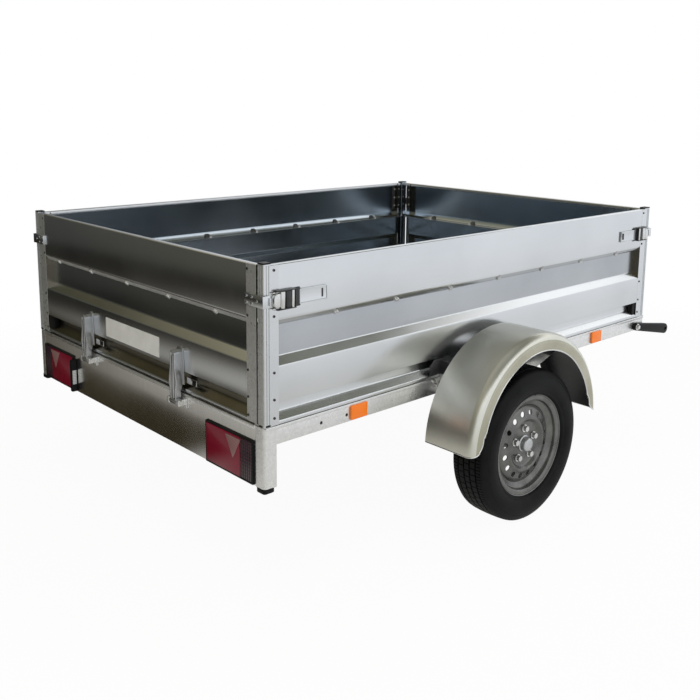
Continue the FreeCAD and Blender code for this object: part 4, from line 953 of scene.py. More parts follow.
plate = block("blankPlate", (tailX - 0.0014, tailX - 0.0001), (-0.1805, 0.1855), (floorZ + 0.086, floorZ + 0.156))
roundEdges(plate, lambda middle, run: abs(run.x) > 0.0005 and abs(run.y) + abs(run.z) < 0.0001, 0.004, 4)
sunkFront(plate, (0.0025, 0.0003))
finishPiece(smooth(bevel(plate, 0.0003, 1)), "tailgate", "zinc_sheet", platePaint)

# black end plugs in the lowest recess
plug = block("plugRight", (frontX - 0.092, frontX - 0.0665), (-sideY + 0.0035, -sideY + 0.024),
             (floorZ + 0.0125, floorZ + 0.064))
gatePlug = block("gatePlugs", (tailX + 0.0035, tailX + 0.024), (0.630, 0.6705), (floorZ + 0.018, floorZ + 0.069))
for obj, body in ((joinAll("recessPlugs", [plug, flip(plug, "plugLeft")]), "trailer"), (gatePlug, "tailgate")):
    finishPiece(smooth(bevel(obj, 0.0012, 2)), body, "black_plastic", blackPlastic)
print("tailgate hung")


# toggle latches, built at the rear right corner: x from the tail, z from the latch's middle, depth out from the board
latchForm = {"z": 0.377, "half": 0.0288, "plate": 0.0225, "lever": 0.236, "keeper": 0.018,
             "hook": ((0.052, -0.020), (0.052, 0.020), (0.040, 0.022), (0.031, 0.016), (0.028, 0.006),
                      (0.028, -0.006), (0.031, -0.016), (0.040, -0.022)),
             "dots": ((0.046, 0.010), (0.046, -0.010), (0.072, 0.010), (0.072, -0.010), (0.022, 0.0))}
half, face, middle = latchForm["half"], -sideY, floorZ + latchForm["z"]


def latchPart(first, last, low, high, near, far, rounding=0.0012):
    return bevel(block("latchPart", (tailX + first, tailX + last), (face - far, face - near),
                       (middle + low, middle + high)), rounding, 2)


def toggleLatch():
    # black frame, bright hook plate, drum, pivot and pull wires, and the lever with its slot
    black = [latchPart(*row) for row in (
        (0.036, 0.133, -half, half, 0.0, 0.0022), (0.040, 0.110, half - 0.0035, half, 0.001, 0.0160),
        (0.040, 0.110, -half, -half + 0.0035, 0.001, 0.0160),
        (0.073, 0.092, -half + 0.004, half - 0.004, 0.002, 0.0150, 0.003),
        (0.106, 0.110, -half + 0.004, half - 0.004, 0.002, 0.0150, 0.001),
        (0.109, 0.132, -half + 0.002, half - 0.002, 0.001, 0.0066, 0.002),
        (0.214, 0.220, -0.013, 0.013, 0.0035, 0.0062, 0.0010))]
    hook = slab("hookPlate", 1, face - 0.0010, [(tailX + along, middle + height) for along, height
                                                in latchForm["hook"]], -0.0140)
    drum = rod("drum", (tailX + 0.062, face - 0.0062, middle), axisZ, 0.0105, 2 * half - 0.008, 28)
    pivot = rod("pivot", (tailX + 0.099, face - 0.0100, middle), axisZ, 0.0058, 2 * half - 0.0006)
    bright = [bevel(hook, 0.0030, 3), bevel(drum, 0.0015, 2), bevel(pivot, 0.0012, 2)]
    bright += [rod("wire", (tailX + 0.044, face - 0.0070, middle + height), (1, 0.10, 0), 0.0022, 0.034, 12)
               for height in (-0.0235, 0.0235)]
    lever = block("lever", (tailX + 0.128, tailX + latchForm["lever"]), (face - 0.0068, face - 0.0012),
                  (middle - latchForm["plate"], middle + latchForm["plate"]))
    insetFaces(lever, lambda centre, normal: normal.y < -0.9, (0.0030, 0), (0, 0.0022, 0))
    return [smooth(joinAll("latchBlack", black)), smooth(joinAll("latchBright", bright)),
            smooth(bevel(lever, 0.0010, 2))]


def keeperPlate():
    # the plate that the latch pulls on, wrapped round the corner, with its rivets
    high = latchForm["keeper"]
    plates = [latchPart(*row, 0.0010) for row in (
        (-0.0074, -0.0050, -high, high, -0.0820, 0.0072), (-0.0074, 0.0195, -high, high, 0.0050, 0.0074),
        (-0.0060, -0.0001, -high, high, -0.0818, -0.0360), (0.0150, 0.0195, -0.012, 0.012, 0.0055, 0.0125))]
    seed = rivet()
    marks = copyTo(seed, [Vector((tailX - 0.0074, face + y, middle + z)) for y, z in latchForm["dots"]], (-1, 0, 0))
    drop(seed)
    return [smooth(joinAll("keeper", plates)), joinAll("keeperMarks", marks)]


def mirrorEnd(obj):
    # the same piece at the other end of the bed
    twin = flip(obj, obj.name + "Front", 0)
    twin.location.x = tailX + frontX
    return settle(twin)


rear = toggleLatch()
front = [mirrorEnd(item) for item in rear]
for name, slot, finish, pair in zip(("Black", "Bright", "Lever"), ("black_plastic", "bright_steel", "zinc_sheet"),
                                    (blackPaint, brightZinc, wallZinc), zip(rear, front)):
    twins = [flip(item, item.name + "Left") for item in pair]
    for label, items in (("left", twins), ("right", pair)):
        nodes = ["side_latches_" + label] if name == "Black" else []
        finishPiece(joinAll("latches" + name + label.title(), items), "trailer", slot, finish, *nodes)
rear = keeperPlate()
front = [mirrorEnd(item) for item in rear]
for end, body, node, (plates, marks) in (("Tail", "tailgate", "tailgate_keepers", rear),
                                         ("Front", "trailer", "front_keepers", front)):
    plates = joinAll("keepers" + end, [plates, flip(plates, "keeperLeft")])
    marks = joinAll("keeperRivets" + end, [marks, flip(marks, "marksLeft")])
    finishPiece(plates, body, "bright_steel", wallZinc, node)
    finishPiece(marks, body, "bright_steel", [wallZinc, rivetSteel])
print("latches fitted")


# mudguards: a skin turned about a cross line above the axle, trimmed at its ends, with a bead on its free edge
guardForm = {"centreZ": 0.3175, "radius": 0.363, "low": 0.306, "inner": 0.8025, "outer": 1.0075, "round": 0.034,
             "flange": 0.057, "trim": 0.014, "lip": 0.045, "crease": 0.050, "gauge": 0.0025, "steps": 72,
             "bead": 0.0024, "beadSteps": 48}
radius, inner, outer = (guardForm[key] for key in ("radius", "inner", "outer"))
rounding, flange, trim = (guardForm[key] for key in ("round", "flange", "trim"))
centreX, centreZ = wheel["x"], guardForm["centreZ"]
guardEnd = centreZ + trim


def roundCrease(first):
    # rows of distance across and radius round the crease, from a step of 0 to 8
    rows = []
    for number in range(first, 9):
        angle = math.radians(90 * number / 8)
        rows.append((outer - rounding + rounding * math.sin(angle), radius - rounding + rounding * math.cos(angle)))
    return rows


def fall(away):
    # how far the rounded corner of the flange lies above its lowest point
    return flange - math.sqrt(max(flange ** 2 - away ** 2, 0))


def guardEdge():
    # the free edge that the bead follows: bottom edge, rounded corner and rim, as places on the guard
    def onCrown(reach, height):
        return math.sqrt((reach - 0.001) ** 2 - (height + trim) ** 2)

    first, skin = inner + 0.002, outer - guardForm["gauge"] / 2
    rows = [(first + (outer - rounding - first) * number / 5, onCrown(radius, 0.001), 0.001) for number in range(6)]
    for across, reach in roundCrease(1):
        height = fall(radius - reach)
        rows.append((across, onCrown(reach, height), height))
    for number in range(1, 9):
        away = rounding + (flange - rounding) * number / 8
        rows.append((skin, radius - away, fall(away)))
    low, count = guardForm["low"], guardForm["beadSteps"]
    start = math.asin((flange + trim) / low)
    over = []
    for number in range(1, count):
        angle = math.pi - start - (math.pi - 2 * start) * number / count
        over.append(Vector((centreX + low * math.cos(angle), skin, centreZ + low * math.sin(angle))))
    rear, front = ([Vector((centreX + hand * reach, across, guardEnd + height)) for across, reach, height in rows]
                   for hand in (-1, 1))
    return rear + over + front[::-1]


section = [(inner, radius - guardForm["lip"]), (inner, radius)] + roundCrease(0)
section += [(outer, radius - guardForm["crease"]), (outer, guardForm["low"])]
centre = (centreX, 0, centreZ)
guard = turnAbout(chain("mudguardLeft", radial(section, centre)), centre, 180, guardForm["steps"])
faceOut(weld(guard), lambda face: face.center.z, axisZ)
# the underside is painted black as the shade under the guard
paintAs(guard, [guardZinc, blackPaint], 0)
useModifier(guard, "SOLIDIFY", thickness=guardForm["gauge"], offset=-1, material_offset=1)
cutOut(guard, block("ends", (centreX - 0.4, centreX + 0.4), (inner - 0.01, outer + 0.01), (centreZ - 0.01, guardEnd)))
for hand in (-1, 1):
    corner = block("corner", (centreX + hand * (radius - flange - 0.010), centreX + hand * (radius + 0.004)),
                   (outer - rounding - 0.0004, outer + 0.01), (guardEnd - 0.01, guardEnd + flange))
    disc = rod("disc", (centreX + hand * radius, outer, guardEnd + flange), axisY, flange, 0.2, 72)
    cutOut(guard, cutOut(corner, disc))
bead = paintAs(roundBar(chain("guardBead", guardEdge()), guardForm["bead"], 2), [brightZinc], 0)
guard = smooth(joinAll("mudguardLeft", [guard, bead]), 30)
# the outer flange takes a darker olive copy painted as shade; the inner lip a pale, mostly diffuse copy painted as
# light, so the wall mirrors it lighter
guard.data.materials.append(flangeZinc)
for face in guard.data.polygons:
    if face.material_index == 0 and abs(face.normal.y) > 0.93:
        face.material_index = 3 if face.center.y > wheel["y"] else 4
finishPair(guard, "trailer", "zinc_frame", [guardZinc, blackPaint, brightZinc, flangeZinc, lipZinc], "mudguard_")

# the guard's brackets: black arms on grey feet, a plate on the wall, and their bolts
bracketForm = {"offset": 0.240, "gauge": 0.006, "reach": 0.090, "depth": 0.030, "black": 0.535, "seat": 0.0003,
               "plate": ((-0.055, 0), (0.065, 0), (0.065, 0.034), (0.045, 0.054), (-0.035, 0.054), (-0.055, 0.034)),
               "bolt": (0.034, 0.022), "screws": ((-0.032, -0.009), (-0.016, -0.027))}
arms, feet, bolts = [], [], []
under = radius - guardForm["gauge"] - bracketForm["seat"]
crownZ = centreZ + math.sqrt(under ** 2 - (bracketForm["offset"] + bracketForm["gauge"] / 2) ** 2)
wall, reach, skin = sideY + 0.0006, inner + bracketForm["reach"], sideY + bracketForm["seat"]
low, bend, high = bed["beamLow"] + 0.0004, bracketForm["black"], crownZ - bracketForm["depth"]
away = inner + (bend - low) / (high - low) * bracketForm["reach"]
armRows = ((wall, bend), (wall, crownZ), (reach, crownZ), (reach, high), (away, bend))
footRows = ((wall, low), (wall, bend - 0.0002), (away, bend - 0.0002), (inner, low))
seed, small = hexBolt(0.017, 0.010, 0.016), hexBolt(0.011, 0.006, 0.009)
for hand in (-1, 1):
    x = centreX + hand * bracketForm["offset"] - bracketForm["gauge"] / 2
    for rows, group in ((armRows, arms), (footRows, feet)):
        group.append(bevel(slab("bracketWeb", 0, x, rows, bracketForm["gauge"]), 0.0012, 2))
    plate = slab("bracketPlate", 1, skin, [(x + 0.003 + along, bend + height) for along, height
                                           in bracketForm["plate"]], 0.0040)
    arms.append(bevel(plate, 0.0010, 2))
    along, height = bracketForm["bolt"]
    bolts += copyTo(seed, [Vector((x + along, sideY + 0.0043, bend + height))], axisY)
    bolts += copyTo(small, [Vector((x + along, skin, floorZ + height)) for along, height in bracketForm["screws"]],
                    axisY)
drop(seed, small)
arms, feet = smooth(joinAll("bracketArmsLeft", arms)), smooth(joinAll("bracketFeetLeft", feet))
bolts = joinAll("bracketBoltsLeft", bolts)
finishPair(arms, "trailer", "black_plastic", blackPaint, "mudguard_brackets_")
finishPair(feet, "trailer", "zinc_frame", frameZinc)
finishPair(bolts, "trailer", "bright_steel", brightZinc)
print("mudguards bent")


# tyres: one pitch of the tread turned in four steps, its blocks cut by sipes, and copied round
# rows from the middle outwards: distance across and radius
tyreForm = {"pitches": 72, "steps": (1.62, 0.88, 1.62, 0.88), "sipe": 0.0048, "tread": 0.2690,
            "ribs": {(0.000, 0.010): (1,), (0.0145, 0.0345): (3,), (0.0395, 0.0585): (1, 3)},
            "half": ((0.0090, 0.2735), (0.0102, 0.2668), (0.0138, 0.2668), (0.0150, 0.2733), (0.0245, 0.2731),
                     (0.0340, 0.2727), (0.0352, 0.2662), (0.0388, 0.2662), (0.0400, 0.2722), (0.0500, 0.2715),
                     (0.0575, 0.2702), (0.0625, 0.2668), (0.0655, 0.2625), (0.0700, 0.2550), (0.0728, 0.2490),
                     (0.0722, 0.2478), (0.0738, 0.2455), (0.0760, 0.2370), (0.0775, 0.2250), (0.0770, 0.2150),
                     (0.0748, 0.2060), (0.0742, 0.2040), (0.0716, 0.1985), (0.0680, 0.1925), (0.0684, 0.1898),
                     (0.0664, 0.1868), (0.0630, 0.1842), (0.0582, 0.1822), (0.0572, 0.1740), (0.0550, 0.1656),
                     (0.0430, 0.1656), (0.0455, 0.1720), (0.0540, 0.1840), (0.0640, 0.2000), (0.0690, 0.2220),
                     (0.0660, 0.2430), (0.0560, 0.2540))}
hub = (wheel["x"], wheel["y"], wheel["z"])


def mirrored(rows):
    # rows carried on to the other side of their middle
    return list(rows) + [(-across, radius) for across, radius in reversed(rows)]


def fromHub(spot):
    return math.hypot(spot.x - hub[0], spot.z - hub[2])


def stepOf(spot):
    # the step of the pitch that a place lies in
    angle = math.degrees(math.atan2(spot.z - hub[2], spot.x - hub[0]))
    reached = 0
    for number, step in enumerate(tyreForm["steps"][:-1]):
        reached += step
        if angle < reached:
            return number
    return len(tyreForm["steps"]) - 1


section = mirrored(tyreForm["half"])
tyre = chain("tyreLeft", radial(section + section[:1], hub))
edit(tyre, "EDGE")
bpy.ops.mesh.select_all(action="SELECT")
for step in tyreForm["steps"]:
    bpy.ops.mesh.spin(steps=1, angle=math.radians(step), center=hub, axis=axisY)
leave()
faceOut(weld(tyre), lambda face: fromHub(face.center), axisX)
for (near, far), steps in tyreForm["ribs"].items():
    for step in steps:
        for hand in (-1, 1) if near else (-1,):
            insetFaces(tyre, lambda place, normal: stepOf(place) == step and normal.x > 0.5
                       and fromHub(place) > tyreForm["tread"]
                       and (near if near else -far) <= hand * (place.y - hub[1]) <= far,
                       (0.0004, 0), (-tyreForm["sipe"], 0, 0))
turns = [tyre]
for number in range(1, tyreForm["pitches"]):
    turn = Matrix.Translation(hub) @ Matrix.Rotation(math.tau * number / tyreForm["pitches"], 4, "Y")
    turns.append(twinOf(tyre, turn @ Matrix.Translation(-Vector(hub))))
tyre = onAll(joinAll("tyreLeft", turns), bpy.ops.mesh.remove_doubles, threshold=0.00002)
finishPair(smooth(tyre, 40), "wheel_", "tyre", tyreRubber, "tyre_")
print("tyres cut")


# rims: a spun barrel, and a dish with its vents and bosses, in rows of distance across and radius
rimForm = {"gauge": 0.0032, "vents": 16, "ventTurn": 11.25, "ventRing": 0.1155, "vent": 0.0100, "bolts": 5,
           "boltRing": 0.056, "boss": 0.0145,
           "barrel": ((0.0592, 0.1808), (0.0578, 0.1818), (0.0562, 0.1800), (0.0556, 0.1700), (0.0530, 0.1632),
                      (0.0430, 0.1622), (0.0385, 0.1590), (0.0300, 0.1425), (0.0262, 0.1402)),
           "dish": ((0.0255, 0.1390), (0.0290, 0.1375), (0.0330, 0.1320), (0.0370, 0.1260), (0.0400, 0.1100),
                    (0.0440, 0.1010), (0.0472, 0.0965), (0.0465, 0.0915), (0.0380, 0.0850), (0.0330, 0.0800),
                    (0.0318, 0.0740), (0.0318, 0.0300)),
           "cap": ((0.0300, 0.0300), (0.0360, 0.0300), (0.0375, 0.0285), (0.0385, 0.0262), (0.0520, 0.0256),
                   (0.0560, 0.0238), (0.0590, 0.0195), (0.0598, 0.0120), (0.0600, 0.0)),
           # the hub behind the disc: place across, radius, length, sides, rounding
           "hub": ((0.8780, 0.0355, 0.104, 40, 0.003), (0.9348, 0.0715, 0.0094, 48, 0.002),
                   (0.8600, 0.0400, 0.012, 40, 0.002))}


def spunSheet(name, rows, bend, outward=False):
    # rows turned about the wheel's axis, the bends rounded and the gauge added
    obj = weld(turnAbout(chain(name, radial(rows, hub)), hub, 360, 96))
    if outward:
        faceOut(obj, lambda face: face.center.y, axisY)
    bevel(obj, bend, 2, 14)
    return smooth(useModifier(obj, "SOLIDIFY", thickness=rimForm["gauge"], offset=0), 35)


def ring(count, start, radius, across):
    # places round the wheel's axis
    angles = [math.radians(start + 360 / count * number) for number in range(count)]
    return [Vector((hub[0] + radius * math.cos(angle), hub[1] + across, hub[2] + radius * math.sin(angle)))
            for angle in angles]


barrel = spunSheet("rimLeft", mirrored(rimForm["barrel"]), 0.0016)
disc = spunSheet("rimDisc", rimForm["dish"], 0.0024, True)
for place in ring(rimForm["vents"], rimForm["ventTurn"], rimForm["ventRing"], 0.038):
    cutOut(disc, rod("vent", place, axisY, rimForm["vent"], 0.05, 20))
smooth(disc, 35)
for place in ring(rimForm["bolts"], 90, rimForm["boltRing"], 0.0325):
    boss = rod("boss", place, axisY, rimForm["boss"], 0.005, 28)
    disc = joinAll("rimDisc", [disc, smooth(bevel(boss, 0.0020, 2))])
finishPair(joinAll("rimLeft", [barrel, disc]), "wheel_", "rim_paint", wheelPaint, "rim_")

# bolts and grease cap, and the hub
seed = hexBolt(0.019, 0.012, 0.014)
bolts = copyTo(seed, ring(rimForm["bolts"], 90, rimForm["boltRing"], 0.0348), axisY)
drop(seed)
cap = weld(turnAbout(chain("greaseCap", radial(rimForm["cap"], hub)), hub, 360, 48))
faceOut(cap, lambda face: face.center.y, axisY)
useModifier(cap, "SOLIDIFY", thickness=0.0014, offset=-1)
capFinishes = [brightZinc, rivetSteel, castZinc]
bright = joinAll("wheelBoltsLeft", bolts + [smooth(paintAs(cap, capFinishes, 2), 35)])
finishPair(bright, "wheel_", "bright_steel", capFinishes)
parts = [bevel(rod("hubPart", (hub[0], across, hub[2]), axisY, reach, length, corners), rounding, 2)
         for across, reach, length, corners, rounding in rimForm["hub"]]
finishPair(smooth(joinAll("hubLeft", parts)), "wheel_", "black_plastic", blackPaint, "hub_")
print("wheels mounted")


# axle: a tube under two plates, and a swing arm with its eye and stub at each end
axleForm = {"x": -0.47635, "z": 0.4255, "half": 0.030, "end": 0.785, "round": 0.009, "plate": 0.065,
            "plateZ": (0.4556, 0.4634), "armTop": 0.4553, "arm": 0.0325, "bolts": 0.050}
axleX, half, end = axleForm["x"], axleForm["half"], axleForm["end"]
tube = block("axleTube", (axleX - half, axleX + half), (-end, end), (axleForm["z"] - half, axleForm["z"] + half))
parts = [roundEdges(tube, lambda middle, run: abs(run.y) > 0.1, axleForm["round"], 5)]
bolts = []
seed = hexBolt(0.019, 0.009, 0.017)
for side in (-1, 1):
    plate = block("axlePlate", (axleX - axleForm["plate"], axleX + axleForm["plate"]),
                  (side * sideY, side * (sideY - 0.040)), axleForm["plateZ"])
    parts.append(bevel(plate, 0.0015, 2))
    bolts += copyTo(seed, [Vector((axleX + hand * axleForm["bolts"], side * (sideY - 0.020), 0.4554))
                           for hand in (-1, 1)], (0, 0, -1))
drop(seed)
finishPiece(smooth(joinAll("axleTube", parts)), "trailer", "zinc_frame", frameZinc, "axle_beam")
finishPiece(joinAll("axleBolts", bolts), "trailer", "bright_steel", brightZinc)
armRows = ((hub[0] - 0.034, hub[2]), (hub[0] + 0.034, hub[2]), (axleX + half, axleForm["z"]),
           (axleX + half, axleForm["armTop"]), (axleX - half, axleForm["armTop"]), (hub[0] - 0.034, hub[2] + 0.034))
for label, side in sides:
    arm = slab("swingArm", 1, side * (end + 0.0008), armRows, side * axleForm["arm"])
    eye = rod("armEye", (hub[0], side * (end + 0.017), hub[2]), axisY, 0.0358, axleForm["arm"], 40)
    stub = rod("armStub", (hub[0], side * (end + 0.055), hub[2]), axisY, 0.0158, 0.09, 32)
    arm = joinAll("axleArm" + label.title(), [bevel(arm, 0.003, 2), bevel(eye, 0.003, 2), stub])
    finishPiece(smooth(arm), "trailer", "zinc_frame", frameZinc, "axle_arm_" + label)
print("axle set")


# plates inside the corners, behind latches and keepers
innerForm = {"z": (floorZ + 0.340, floorZ + 0.462), "near": 0.026, "far": 0.078, "gauge": 0.002, "skin": 0.0022,
             "sideRivets": ((0.038, 0.064), (0.356, 0.400, 0.446)),
             "endRivets": ((0.052, 0.066), (0.360, 0.400, 0.440))}
plates, marks, gatePlates, gateMarks = [], [], [], []
skinY, gauge = sideY - innerForm["skin"], innerForm["gauge"]
seed = rivet()
for side in (-1, 1):
    rows, heights = innerForm["sideRivets"]
    inner = side * (skinY - gauge)
    for start, hand in ((tailX + 0.0105, 1), (frontX - 0.0065, -1)):
        plates.append(bevel(block("backPlate", (start + hand * innerForm["near"], start + hand * innerForm["far"]),
                                  (side * skinY, inner), innerForm["z"]), 0.0008, 2))
        marks += copyTo(seed, [Vector((start + hand * along, inner, floorZ + height)) for along in rows
                               for height in heights], (0, -side, 0))
    rows, heights = innerForm["endRivets"]
    for group, dots, end, hand, near in ((plates, marks, frontX, -1, 0.032), (gatePlates, gateMarks, tailX, 1, 0.048)):
        skin = end + hand * innerForm["skin"]
        plate = block("backPlate", (skin, skin + hand * gauge), (side * (sideY - near), side * (sideY - 0.074)),
                      innerForm["z"])
        group.append(bevel(plate, 0.0008, 2))
        dots += copyTo(seed, [Vector((skin + hand * gauge, side * (sideY - across), floorZ + height))
                              for across in rows for height in heights], (hand, 0, 0))
drop(seed)
for name, body, group, dots in (("innerPlate", "trailer", plates, marks),
                                ("gatePlate", "tailgate", gatePlates, gateMarks)):
    finishPiece(smooth(joinAll(name + "s", group)), body, "black_plastic", blackPaint)
    finishPiece(joinAll(name + "Rivets", dots), body, "bright_steel", [lipZinc, blackPlastic])
print("corner plates riveted")


# drawbar: two tubes in a V, the nose plate on them with its bolts, and the clamp bolts under the bed
barForm = {"rear": Vector((-0.26935, 0.660, 0)), "front": Vector((1.34065, 0.046, 0)), "low": 0.4035, "high": 0.4635,
           "half": 0.020, "wall": 0.003, "round": 0.006, "open": 0.08,
           "nose": ((1.1309, -0.066), (1.340, -0.066), (1.4029, -0.040), (1.4029, 0.040), (1.340, 0.066),
                    (1.1309, 0.066)), "noseGauge": 0.0056,
           "noseBolts": ((1.160, 0.050), (1.300, 0.048)), "throatBolts": (1.290, 1.420)}
barRun = barForm["front"] - barForm["rear"]
barTurn = math.atan2(barRun.y, barRun.x)


def layAlongArm(obj):
    # turns a piece built along +X so that it lies on the left arm
    obj.rotation_euler.z = barTurn
    obj.location = barForm["rear"]
    return settle(obj)


arm = block("drawbarLeft", (0.0002, barRun.length - 0.0002), (-barForm["half"], barForm["half"]),
            (barForm["low"], barForm["high"] - 0.0002))
roundEdges(arm, lambda middle, run: abs(run.x) > 0.5, barForm["round"], 4)
for hand in (-1, 1):
    insetFaces(arm, lambda centre, normal: normal.x * hand > 0.9, (barForm["wall"], 0), (-hand * barForm["open"], 0, 0))
finishPair(layAlongArm(smooth(arm, 28)), "trailer", "zinc_frame", frameZinc, "drawbar_arm_")
nose = slab("nosePlate", 2, barForm["high"] + 0.0002, barForm["nose"], barForm["noseGauge"])
finishPiece(smooth(bevel(nose, 0.0015, 2)), "trailer", "zinc_frame", frameZinc, "drawbar_nose")
seed = hexBolt(0.019, 0.010, 0.018)
bolts = copyTo(seed, [Vector((x, hand * y, barForm["high"] + barForm["noseGauge"])) for x, y in barForm["noseBolts"]
                      for hand in (-1, 1)])
for hand in (1, -1):
    bolts += copyTo(seed, [Vector((x, hand * 0.0308, 0.494)) for x in barForm["throatBolts"]], (0, hand, 0))
for x in (tailX + 0.78 * bed["length"], tailX + bed["length"] - 0.020):
    y = barForm["rear"].y + (x - barForm["rear"].x) * barRun.y / barRun.x
    bolts += copyTo(seed, [Vector((x, hand * y, barForm["low"] + 0.0004)) for hand in (-1, 1)], (0, 0, -1))
drop(seed)
finishPiece(joinAll("noseBolts", bolts), "trailer", "bright_steel", brightZinc)

# ball coupling: a throat rounded along its top and a round cup, hollow for the ball, with its handle
couplingForm = {"rear": 1.2358, "cup": 1.55835, "half": 0.0308, "base": 0.4697, "top": 0.5216, "radius": 0.0321,
                "ball": 0.0254, "handle": ((1.5560, 0.5224), (1.5200, 0.5224), (1.4700, 0.5228), (1.4100, 0.5250),
                                           (1.4095, 0.5312), (1.4700, 0.5290), (1.5200, 0.5312), (1.5560, 0.5290)),
                "handleHalf": 0.0152}
rear, cupX, base, top = (couplingForm[key] for key in ("rear", "cup", "base", "top"))
throat = block("couplingHead", (rear, cupX), (-couplingForm["half"], couplingForm["half"]), (base, top))
roundEdges(throat, lambda middle, run: abs(run.x) > 0.1 and middle.z > top - 0.001, 0.012, 5)
roundEdges(throat, lambda middle, run: abs(run.y) > 0.01 and middle.x < rear + 0.001 and middle.z > top - 0.01,
           0.010, 4)
cup = rod("cup", (cupX, 0, (base + top) / 2), axisZ, couplingForm["radius"], top - base, 48)
roundEdges(cup, lambda middle, run: middle.z > top - 0.001, 0.016, 6)
useModifier(throat, "BOOLEAN", operation="UNION", solver="EXACT", object=cup)
drop(cup)
cutOut(throat, rod("socket", (cupX, 0, base + 0.0075), axisZ, couplingForm["ball"], 0.025, 48))
clearSelection()
bpy.ops.mesh.primitive_uv_sphere_add(segments=48, ring_count=24, radius=couplingForm["ball"],
                                     location=(cupX, 0, base + 0.020))
cutOut(throat, named("dome"))
finishPiece(smooth(throat, 30), "trailer", "zinc_frame", frameZinc, "coupling_head")
handle = slab("couplingHandle", 1, -couplingForm["handleHalf"], couplingForm["handle"], 2 * couplingForm["handleHalf"])
finishPiece(smooth(bevel(handle, 0.0020, 3, 40), 40), "trailer", "black_plastic", blackPaint, "coupling_handle")
print("drawbar laid")


# jockey wheel: sleeve clamped to the left arm, leg, fork, wheel and crank
jockeyForm = {"x": 0.98686, "y": 0.24086, "sleeveLow": 0.3935, "sleeveTop": 0.7335, "outer": 0.0238, "inner": 0.0212,
              "legLow": 0.2115, "legTop": 0.5493, "leg": 0.0204, "wheelX": 0.94886, "wheelZ": 0.100, "cheek": 0.036,
              # clamp: far side of the arm, then each piece's reach, low and high edge, and rounding
              "clampHalf": 0.0235, "arm": 0.0203, "clamp": ((0.0540, 0.4045, 0.4230, 0.0025),
                                                            (0.0540, 0.4435, 0.4620, 0.0025),
                                                            (0.0262, 0.4040, 0.4630, 0.0015)),
              "clampBolts": (0.4137, 0.4527),
              "cheekRows": ((-0.0238, 0.2070), (0.0238, 0.2070), (0.0160, 0.082), (0.008, 0.0772),
                            (-0.008, 0.0772), (-0.0160, 0.082)),
              "wheel": ((0.0300, 0.0066), (0.0300, 0.0180), (0.0240, 0.0200), (0.0160, 0.0240), (0.0150, 0.0620),
                        (0.0260, 0.0680), (0.0285, 0.0720), (0.0298, 0.0800), (0.0298, 0.0880), (0.0270, 0.0950),
                        (0.0210, 0.0985), (0.0110, 0.0998)), "tread": 0.0660,
              "crank": 0.0058, "crankBend": 0.010, "crankArm": 0.110, "crankAngles": (22, 45, 68, 90), "grip": 0.0116,
              "rings": 6, "ringStep": 0.0095}
legX, legY, wheelX, wheelZ = (jockeyForm[key] for key in ("x", "y", "wheelX", "wheelZ"))
low, top = jockeyForm["sleeveLow"], jockeyForm["sleeveTop"]
along = (legX - barForm["rear"].x) * math.cos(barTurn) + (legY - barForm["rear"].y) * math.sin(barTurn)
tube = rod("jockeySleeve", (legX, legY, (low + top) / 2), axisZ, jockeyForm["outer"], top - low, 48)
parts = [tube]
for reach, bottom, upper, rounding in jockeyForm["clamp"]:
    jaw = block("jaw", (along - jockeyForm["clampHalf"], along + jockeyForm["clampHalf"]), (jockeyForm["arm"], reach),
                (bottom, upper))
    parts.append(layAlongArm(bevel(jaw, rounding, 2)))
for part in parts:
    cutOut(part, rod("bore", (legX, legY, low + 0.1680), axisZ, jockeyForm["inner"], 0.340, 48))
bevel(tube, 0.0012, 2, 50)
finishPiece(smooth(joinAll("jockeySleeve", parts), 30), "trailer", "zinc_frame", frameZinc, "jockey_sleeve")
seed = hexBolt(0.016, 0.008, 0.014)
bolts = [layAlongArm(settle(bolt)) for height in jockeyForm["clampBolts"] for hand in (-1, 1)
         for bolt in copyTo(seed, [Vector((along + hand * 0.0232, 0.030, height))], (hand, 0, 0))]
drop(seed)
finishPiece(joinAll("clampBolts", bolts), "trailer", "bright_steel", brightZinc)

legLow, legTop = jockeyForm["legLow"], jockeyForm["legTop"]
leg = rod("jockeyLeg", (legX, legY, (legLow + legTop) / 2), axisZ, jockeyForm["leg"], legTop - legLow, 40)
collar = rod("legCollar", (legX, legY, legLow + 0.010), axisZ, jockeyForm["leg"] + 0.0003, 0.018, 40)
finishPiece(smooth(joinAll("jockeyLeg", [bevel(leg, 0.0015, 2), bevel(collar, 0.0008, 1)])), "jockey_leg",
            "bright_steel", brightZinc, "jockey_leg")

cheekY = jockeyForm["cheek"]
crown = block("forkCrown", (wheelX - 0.0238, legX + 0.0238), (legY - cheekY - 0.005, legY + cheekY + 0.005),
              (0.2062, 0.2108))
roundEdges(crown, lambda middle, run: abs(run.z) > 0.001 and middle.x > legX, 0.018, 6)
parts = [bevel(crown, 0.0012, 2, 50)]
for hand in (-1, 1):
    cheek = slab("cheek", 1, legY + hand * cheekY, [(wheelX + x, z) for x, z in jockeyForm["cheekRows"]], hand * 0.0048)
    parts.append(bevel(cheek, 0.0012, 2, 40))
parts.append(bevel(rod("forkPin", (wheelX, legY, wheelZ), axisY, 0.0058, 2 * (cheekY + 0.0046), 20), 0.001, 1))
finishPiece(smooth(joinAll("jockeyFork", parts)), "jockey_fork", "zinc_frame", frameZinc, "jockey_fork")
seed = hexBolt(0.017, 0.0045, 0.010)
nuts = [nut for hand in (-1, 1)
        for nut in copyTo(seed, [Vector((wheelX, legY + hand * (cheekY + 0.0044), wheelZ))], (0, hand, 0))]
drop(seed)
finishPiece(joinAll("forkNuts", nuts), "jockey_fork", "bright_steel", brightZinc)

